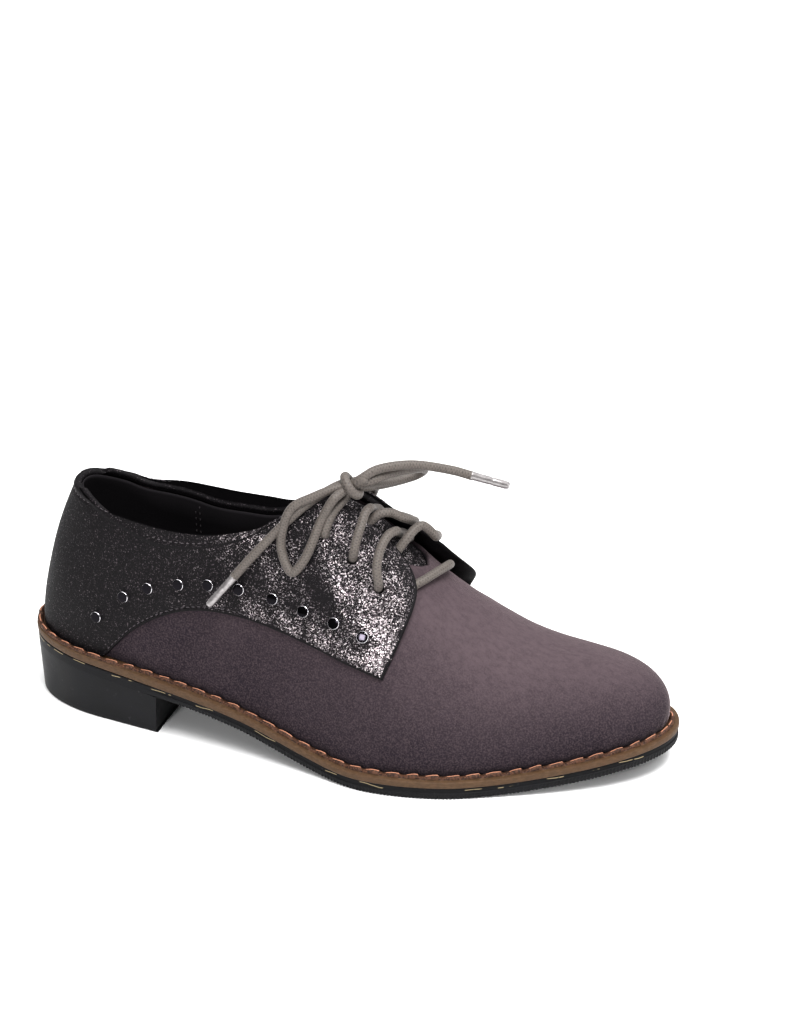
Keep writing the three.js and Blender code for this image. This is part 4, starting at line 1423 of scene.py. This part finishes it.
# Two rows of stitches on each side of the lining: places along, and the share up where they run
LINING_SEAMS = 0.235, 0.243
LINING_SEAM_UP = np.linspace(0.12, 0.36, 60)


def lining_top(turn):
    """Just under the collar's edge, and level with the upper's edge at the throat."""
    along = along_at(turn)
    lateral = through(COLLAR["along"], COLLAR["lateral"], along)
    stretched = COLLAR["along"] * (1 + MEDIAL_FACING_SHIFT / COLLAR["along"][-1])
    medial = through(stretched, COLLAR["medial"], along)
    edge = np.where(turn < np.pi, lateral, medial) - LINING_UNDER_EDGE
    return np.where(along < THROAT_START, edge, upper_top(turn))


def lining():
    """The black lining inside the upper, from the collar down to the insole."""
    turns = np.append(paired_turns(LINING_COLUMNS), 2 * np.pi)
    top = np.minimum(lining_top(turns), 1)
    rise = np.linspace(0.05, 1, LINING_ROWS + 1)
    turn, up = turns[:, None] + 0 * rise, top[:, None] * rise
    fold = np.minimum(turn, 2 * np.pi - turn)
    lift = -UPPER_WALL - LINING_GAP - LINING_WAVE * (1 + np.sin(fold * 11 + up * 9)) / 2
    outer, inner = skin(turn, up, lift), skin(turn, up, lift - LINING_WALL)
    form = Form()
    closed = join_ridge([outer, inner], top)
    keep = punched([outer, inner], eyelet_holes(), EYELET / 2)
    form.slab(form.add(outer), form.add(inner), keep, True, closed)
    form.make("shoe_lining", LINING)
    seam = Form()
    over = np.full_like(LINING_SEAM_UP, -UPPER_WALL - LINING_WALL - 0.25 * MM)
    for side in ("medial", "lateral"):
        for along in LINING_SEAMS:
            turn = np.full_like(LINING_SEAM_UP, side_turn(side, along))
            line, normal = skin(turn, LINING_SEAM_UP, over), last_normal(turn, LINING_SEAM_UP)
            stitches(seam, line, -normal, LINING_STITCH)
    seam.make("lining_stitching", DARK_THREAD)


lining()


# Tongue
TONGUE_FRONT = 0.66
TONGUE_TOP = 0.498
TONGUE_SPREAD = 0.4
TONGUE_HALF_WIDTH = 30 * MM
TONGUE_LENGTH = 47 * MM
TONGUE_EDGE_ROUND = 0.7 * MM
TONGUE_WAVE = 0.15 * MM


def tongue():
    """The foil tongue under the facings: a strip over the ridge, its top rounded and fallen back."""
    share = np.linspace(-1, 1, 81)[:, None]
    rise = np.linspace(0, 1, 121)[None]
    along = TONGUE_FRONT + (TONGUE_TOP - TONGUE_FRONT) * rise
    round_top = np.sqrt(1 - 0.8 * np.maximum(0, (rise - 0.8) / 0.2) ** 2)
    up = 1 - np.abs(share) * TONGUE_SPREAD * round_top
    fall = TONGUE_DROP * np.maximum(0, (rise - 0.45) / 0.55) ** 2
    turn = np.where(share < 0, side_turn("lateral", along), side_turn("medial", along))
    lift = -(UPPER_WALL + TONGUE_GAP) + TONGUE_WAVE * np.sin(9 * share + 14 * rise)
    edge = np.minimum((1 - np.abs(share)) * TONGUE_HALF_WIDTH, (1 - rise) * TONGUE_LENGTH)
    down = np.stack(np.broadcast_arrays(0 * share, 0 * share, fall), -1)
    outer = skin(turn, up, lift - rounded(edge, TONGUE_EDGE_ROUND)) - down
    inner = skin(turn, up, lift - TONGUE_WALL) - down
    marks = np.broadcast_to([0.5, 1.0], outer.shape[:-1] + (2,))
    form = Form()
    form.slab(form.add(outer, marks), form.add(inner))
    form.make("tongue_foil", FOIL, sharp=60, replaces=["tongue"])


tongue()


# Studs
STUD_BEVEL = 0.45 * MM
STUD_SIDES = 40
STUD_SHIFT = 0.003, 0.007


def stud_profile():
    """Radius and height from the foot's middle up over the wall and bevel to the face's middle, and where
    each point is painted bright as a reflection highlight."""
    r = STUD_WIDTH / 2
    corner = np.linspace(0, np.pi / 2, 6)
    wide = np.concatenate([
        [0, r * 0.8, r - 0.1 * MM, r],
        r - STUD_BEVEL + STUD_BEVEL * np.cos(corner),
        [r * 0.7, 0],
    ])
    tall = np.concatenate([
        np.array([-0.6, -0.6, -0.5, 0]) * MM,
        STUD_HEIGHT - STUD_BEVEL + STUD_BEVEL * np.sin(corner),
        STUD_HEIGHT + np.array([0.03, 0.05]) * MM,
    ])
    bright = (tall < STUD_HEIGHT - 0.08 * MM) & (wide > 0.9 * r)
    return wide, tall, bright.astype(float)


def studs():
    """Flat round studs: their profile turned about the skin's normal."""
    wide, tall, bright = stud_profile()
    # The marks' first number marks the wall and lower bevel that are painted bright as a reflection.
    marks = np.stack(np.broadcast_arrays(bright[:, None], np.linspace(0, 1, STUD_SIDES + 1)), -1)
    alongs, ups = STUD_PLACES["along"] + STUD_SHIFT[0], STUD_PLACES["up"] + STUD_SHIFT[1]
    for side in ("lateral", "medial"):
        for k, (along, up) in enumerate(zip(alongs, ups)):
            turn = side_turn(side, along)
            normal = last_normal(turn, up)
            foot = last(turn, up) + normal * (QUARTER_OUT + GAP)
            across = unit(np.cross(normal, [0, 0, 1.0]))
            ring = circle(across, np.cross(normal, across), STUD_SIDES)
            points = foot + normal * tall[:, None, None] + ring * wide[:, None, None]
            form = Form()
            form.cells(form.add(points, marks), flip=True)
            name = f"stud_{side}_{k + 1:02d}"
            form.make(f"{name}_cap", STUD, sharp=30, replaces=[name])


studs()


# Outsole
SOLE_COLUMNS = 1800
RIB_PITCH = 1.45 * MM
RIB_DEPTH = 0.55 * MM


def outsole():
    """The outsole: its side steps in half way up, and fine ribs cut its lower half, but not at the heel.
    Its levels say how far in, what share up and how deep the ribs cut."""
    turns = paired_turns(SOLE_COLUMNS)
    long = travelled(np.stack(sole_edge(turns), -1))
    shown = smooth(0.27, 0.3, along_at(turns))
    open_edge = 0.02 + 0.98 * smooth(0.22, 0.27, along_at(turns))
    edge, step = SOLE_EDGE * open_edge, SOLE_STEP * open_edge
    rib = RIB_DEPTH * shown * (np.abs(np.mod(long / RIB_PITCH, 1) - 0.5) * 2) ** 1.5
    levels = [
        (6 * MM, 0, 0),
        (3 * MM, 0, 0),
        (2.2 * MM, 0, 0.4),
        (1.6 * MM, 0, 0.4),
        (1.2 * MM, 0, 0.2),
        (edge, 0, 1),
        (edge * 0.4, 0.07, 1),
        (edge * 0.1, 0.16, 1),
        (0, 0.3, 0.7),
        (0, 0.5, 0.3),
        (0.02 * MM, 0.56, 0.1),
        (step * 0.8, 0.6, 0),
        (step, 0.64, 0),
        (step, 0.8, 0),
        (step, 0.97, 0),
        (step + 0.08 * MM, 1, 0),
        (4 * MM, 1, 0),
    ]
    rings, marks = [], []
    for inset, share, cut in levels:
        x, y = inside_edge(turns, inset + rib * cut)
        lowest = 0.25 * rib if share == 0 else 0
        rings.append(np.stack([x, y, underside(x) + sole_thick(x) * share + lowest], -1))
        marks.append(np.stack([long, np.full_like(long, SOLE_THICK * (1 - share))], -1))
    form = Form()
    form.loft(np.array(rings), marks)
    form.make("outsole_rubber", SOLE_RUBBER, sharp=45, replaces=["outsole"])


outsole()


# Heel
SIDE_COUNT = 150
BREAST_COUNT = 40
BREAST_HOLLOW = 1.2 * MM
# The heel's levels: how far in, and the share up
HEEL_LEVELS = [
    (SOLE_EDGE * 1.6 + HEEL_TAPER, 0),
    (SOLE_EDGE * 0.5 + HEEL_TAPER, 0.006),
    (HEEL_TAPER, 0.03),
    (HEEL_TAPER, 0.1),
    (HEEL_TAPER * 0.7, 0.4),
    (HEEL_TAPER * 0.3, 0.7),
    (0, 0.94),
    (0, 1),
]


def heel_side(mirror, inset, end):
    """A line along one side of the outline, from the back of the heel to the breast."""
    fine = np.linspace(0, np.pi, 1500)
    stop = np.interp(end, inside_edge(fine * mirror, inset)[0], fine)
    return np.stack(inside_edge(np.linspace(0, 1, SIDE_COUNT) * stop * mirror, inset), -1)


def heel():
    """The heel block: rings that follow the outline to the breast and cross over, level by level."""
    across = np.linspace(0, 1, BREAST_COUNT + 2)[1:-1, None]
    rings, marks = [], []
    for inset, share in HEEL_LEVELS:
        lean = BREAST_LEAN * (share - 0.2) + 0.8 * MM * (share < 0.01)
        lateral, medial = (heel_side(mirror, inset, HEEL_LENGTH + lean) for mirror in (1, -1))
        breast = lateral[-1] * (1 - across) + medial[-1] * across
        breast[:, 0] -= BREAST_HOLLOW * np.sin(np.pi * across[:, 0])
        flat = np.concatenate([lateral, breast, medial[:0:-1]])
        top = underside(flat[:, 0])
        high = share * (top - 0.02 * MM)
        rings.append(np.concatenate([flat, high[:, None]], 1))
        marks.append(np.stack([np.arange(len(flat)) * MM, top - high], -1))
    form = Form()
    around = form.rings(np.array(rings), marks)
    for level, order in ((0, -1), (-1, 1)):
        middle = form.add(rings[level].mean(0)[None])
        form.fan(middle[0], around[level][::order])
    form.make("heel_block", HEEL_RUBBER, sharp=35, replaces=["heel"])


heel()


# Welt
WELT_COLUMNS = 1500
SCALLOP = 8.0 * MM
BEAD_SHIFT = (0.16, 0.24)
BEAD_LEAN = 0.35 * MM
# The welt's side: share up, and share of WELT_PROUD
WELT_SIDE = (0.04, 0), (0.15, 0.7), (0.3, 1), (0.5, 1), (0.7, 1), (0.86, 0.8), (0.96, 0.2)
# The bead: share inward, share of its height, and how rubbed it is, which also sets the bead's painted shade
# and the painted highlight on its crest
BEAD_PROFILE = [
    (0.06, 0.3, 0.5),
    (0.16, 0.62, 0.7),
    (0.3, 0.86, 0.9),
    (0.45, 0.98, 1),
    (0.58, 1, 1),
    (0.7, 0.9, 0.9),
    (0.84, 0.66, 0.8),
    (0.94, 0.3, 0.6),
    (1, 0, 0.4),
]


def bead_inside(along):
    return WELT_REACH - GAP - QUARTER_OUT * (1 - smooth(*BEAD_SHIFT, along))


def scallops(long):
    """0 to about 1 along the bead: a slow rise and a quick fall in each long stitch, a little uneven."""
    count = round(long[-1] / SCALLOP)
    phase = np.minimum(long, long[-1] - long) / long[-1] * count
    uneven = 0.12 * np.sin(phase * 2.3) + 0.1 * np.sin(phase * 5.1 + 1)
    saw = np.mod(phase + 0.2 * uneven, 1)
    return smooth(-0.1, 0.75, saw) * (1 - smooth(0.88, 1, saw)) * (1 + uneven)


def welt():
    """The welt: a flat-sided band whose stitched bead rises in scallops, one to each long stitch."""
    turns = paired_turns(WELT_COLUMNS)
    long = travelled(np.stack(sole_edge(turns), -1))
    scallop = scallops(long)
    inner = bead_inside(along_at(turns))
    rings, marks = [], []

    def level(inset, high, mark):
        x, y = inside_edge(turns, inset)
        rise = welt_bottom(x) + (welt_top(x) - welt_bottom(x)) * np.minimum(high / WELT_THICK, 1)
        rings.append(np.stack([x, y, rise + np.maximum(high - WELT_THICK, 0)], -1))
        marks.append(np.stack(np.broadcast_arrays(long, mark), -1))

    level(6 * MM, 0.02 * MM, 0.0)
    level(SOLE_STEP + 0.2 * MM, 0.0, 0.0)
    rough = 0.05 * MM * np.sin(long / MM * 2.1) * np.sin(long / MM * 0.37)
    for share, proud in WELT_SIDE:
        level(-WELT_PROUD * proud + rough * proud, WELT_THICK * share, 0.0)
    shelf = np.maximum(inner - BEAD_WIDTH, 0.35 * MM)
    level(shelf * 0.5, WELT_THICK, 0.1)
    level(shelf, WELT_THICK, 0.15)
    lean = BEAD_LEAN * scallop
    for inward, high, mark in BEAD_PROFILE:
        top = BEAD_HEIGHT * high * (0.42 + 0.62 * scallop)
        outward = np.maximum(inner - BEAD_WIDTH * (1 - inward) - lean * high, 0.2 * MM)
        level(outward, WELT_THICK + top, mark * (0.86 + 0.14 * smooth(0.1, 0.5, scallop)))
    level(inner + 1.5 * MM, WELT_THICK * 0.98, 0.0)
    form = Form()
    form.loft(np.array(rings), marks)
    form.make("welt_band", WELT, sharp=60, replaces=["welt"])
    return turns, inner


WELT_LINE = welt()


def welt_stitches():
    """Copper thread in short stitches along the bead's outer slope."""
    turns, inner = WELT_LINE
    near = np.maximum(inner - BEAD_WIDTH * 0.8, 0.3 * MM)
    x, y = inside_edge(turns, near)
    line = np.stack([x, y, welt_top(x) + BEAD_HEIGHT * 0.42], -1)
    out_x, out_y = inside_edge(turns, near - MM)
    normal = unit(np.stack([out_x - x, out_y - y, np.full_like(x, 0.8 * MM)], -1))
    form = Form()
    stitches(form, line, normal, WELT_STITCH, sink=0.1)
    form.make("welt_stitching", COPPER_THREAD)


welt_stitches()


# Insole
INSOLE_COLUMNS = 420
# The insole's levels: how far in, and the share up
INSOLE_LEVELS = [
    (0, 0),
    (0, 0.6),
    (0.25 * MM, 0.9),
    (0.8 * MM, 1),
    (3 * MM, 1),
    (8 * MM, 0.96),
    (14 * MM, 0.9),
    (19 * MM, 0.86),
]


def insole():
    """The sock: a soft-edged board, a little hollow along its middle."""
    turns = paired_turns(INSOLE_COLUMNS)
    reach = WELT_REACH + UPPER_WALL + 3 * GAP
    narrow = 0.05 + 0.95 * smooth(0, 0.06, along_at(turns)) * smooth(1, 0.94, along_at(turns))
    rings = []
    for inset, share in INSOLE_LEVELS:
        x, y = inside_edge(turns, reach + inset * narrow)
        rings.append(np.stack([x, y, feather(x) + INSOLE_THICK * share], -1))
    form = Form()
    form.loft(np.array(rings))
    form.make("insole_sock", LINING, sharp=60, replaces=["insole"])


insole()


# Floor and light
FLOOR_HALF = 12.0
ROOM_LIGHT = 0.28
OVERHEAD_STRENGTH = 3.3
OVERHEAD_WIDTH = math.radians(105)
OVERHEAD_TURN = math.radians(-14), math.radians(4), 0
LIT_MIDDLE = 0.12, 0, 0.06
# Each lamp's place, its width and height in metres and its power
LAMPS = {
    "front": ((0.008, -1.104, 0.456), 0.18, 0.18, 6),
    "above_toe": ((0.6, -0.25, 1.3), 0.8, 0.5, 20),
    "toe": ((1.3, 0.05, 0.3), 0.2, 0.45, 3),
}
VIEW_GAMMA = 0.88


def floor():
    """A wide pale floor, white enough to meet the background."""
    w = FLOOR_HALF
    mesh = bpy.data.meshes.new("floor")
    mesh.from_pydata([(-w, -w, 0), (w, -w, 0), (w, w, 0), (-w, w, 0)], [], [(0, 1, 2, 3)])
    f = Finish("floor_paint", Roughness=0.32, Specular_IOR_Level=0.25)
    f.set(Base_Color=f.mix(f.noise(3, 2), linear(250, 250, 250), linear(253, 253, 253)))
    mesh.materials.append(f.material)
    plane = bpy.data.objects.new("floor", mesh)
    bpy.context.scene.collection.objects.link(plane)


def lamp(name, place, wide, tall, power):
    """A soft box that faces the shoe's middle."""
    data = bpy.data.lights.new(name, "AREA")
    data.shape = "RECTANGLE"
    data.size, data.size_y = wide, tall
    data.energy = power
    light = bpy.data.objects.new(name, data)
    light.location = place
    light.rotation_mode = "QUATERNION"
    light.rotation_quaternion = (Vector(LIT_MIDDLE) - Vector(place)).to_track_quat("-Z", "Y")
    bpy.context.scene.collection.objects.link(light)


def lights():
    """A wide soft light overhead, a small bright box in front and one at the toe, in a dim room."""
    world = bpy.data.worlds.new("room")
    world.use_nodes = True
    background = world.node_tree.nodes["Background"]
    background.inputs["Color"].default_value = (1, 1, 1, 1)
    background.inputs["Strength"].default_value = ROOM_LIGHT
    bpy.context.scene.world = world
    overhead = bpy.data.lights.new("overhead", "SUN")
    overhead.energy = OVERHEAD_STRENGTH
    overhead.angle = OVERHEAD_WIDTH
    light = bpy.data.objects.new("overhead", overhead)
    light.rotation_euler = OVERHEAD_TURN
    bpy.context.scene.collection.objects.link(light)
    for name, sizes in LAMPS.items():
        lamp(name, *sizes)
    bpy.context.scene.view_settings.view_transform = "Standard"
    bpy.context.scene.view_settings.gamma = VIEW_GAMMA


floor()
lights()
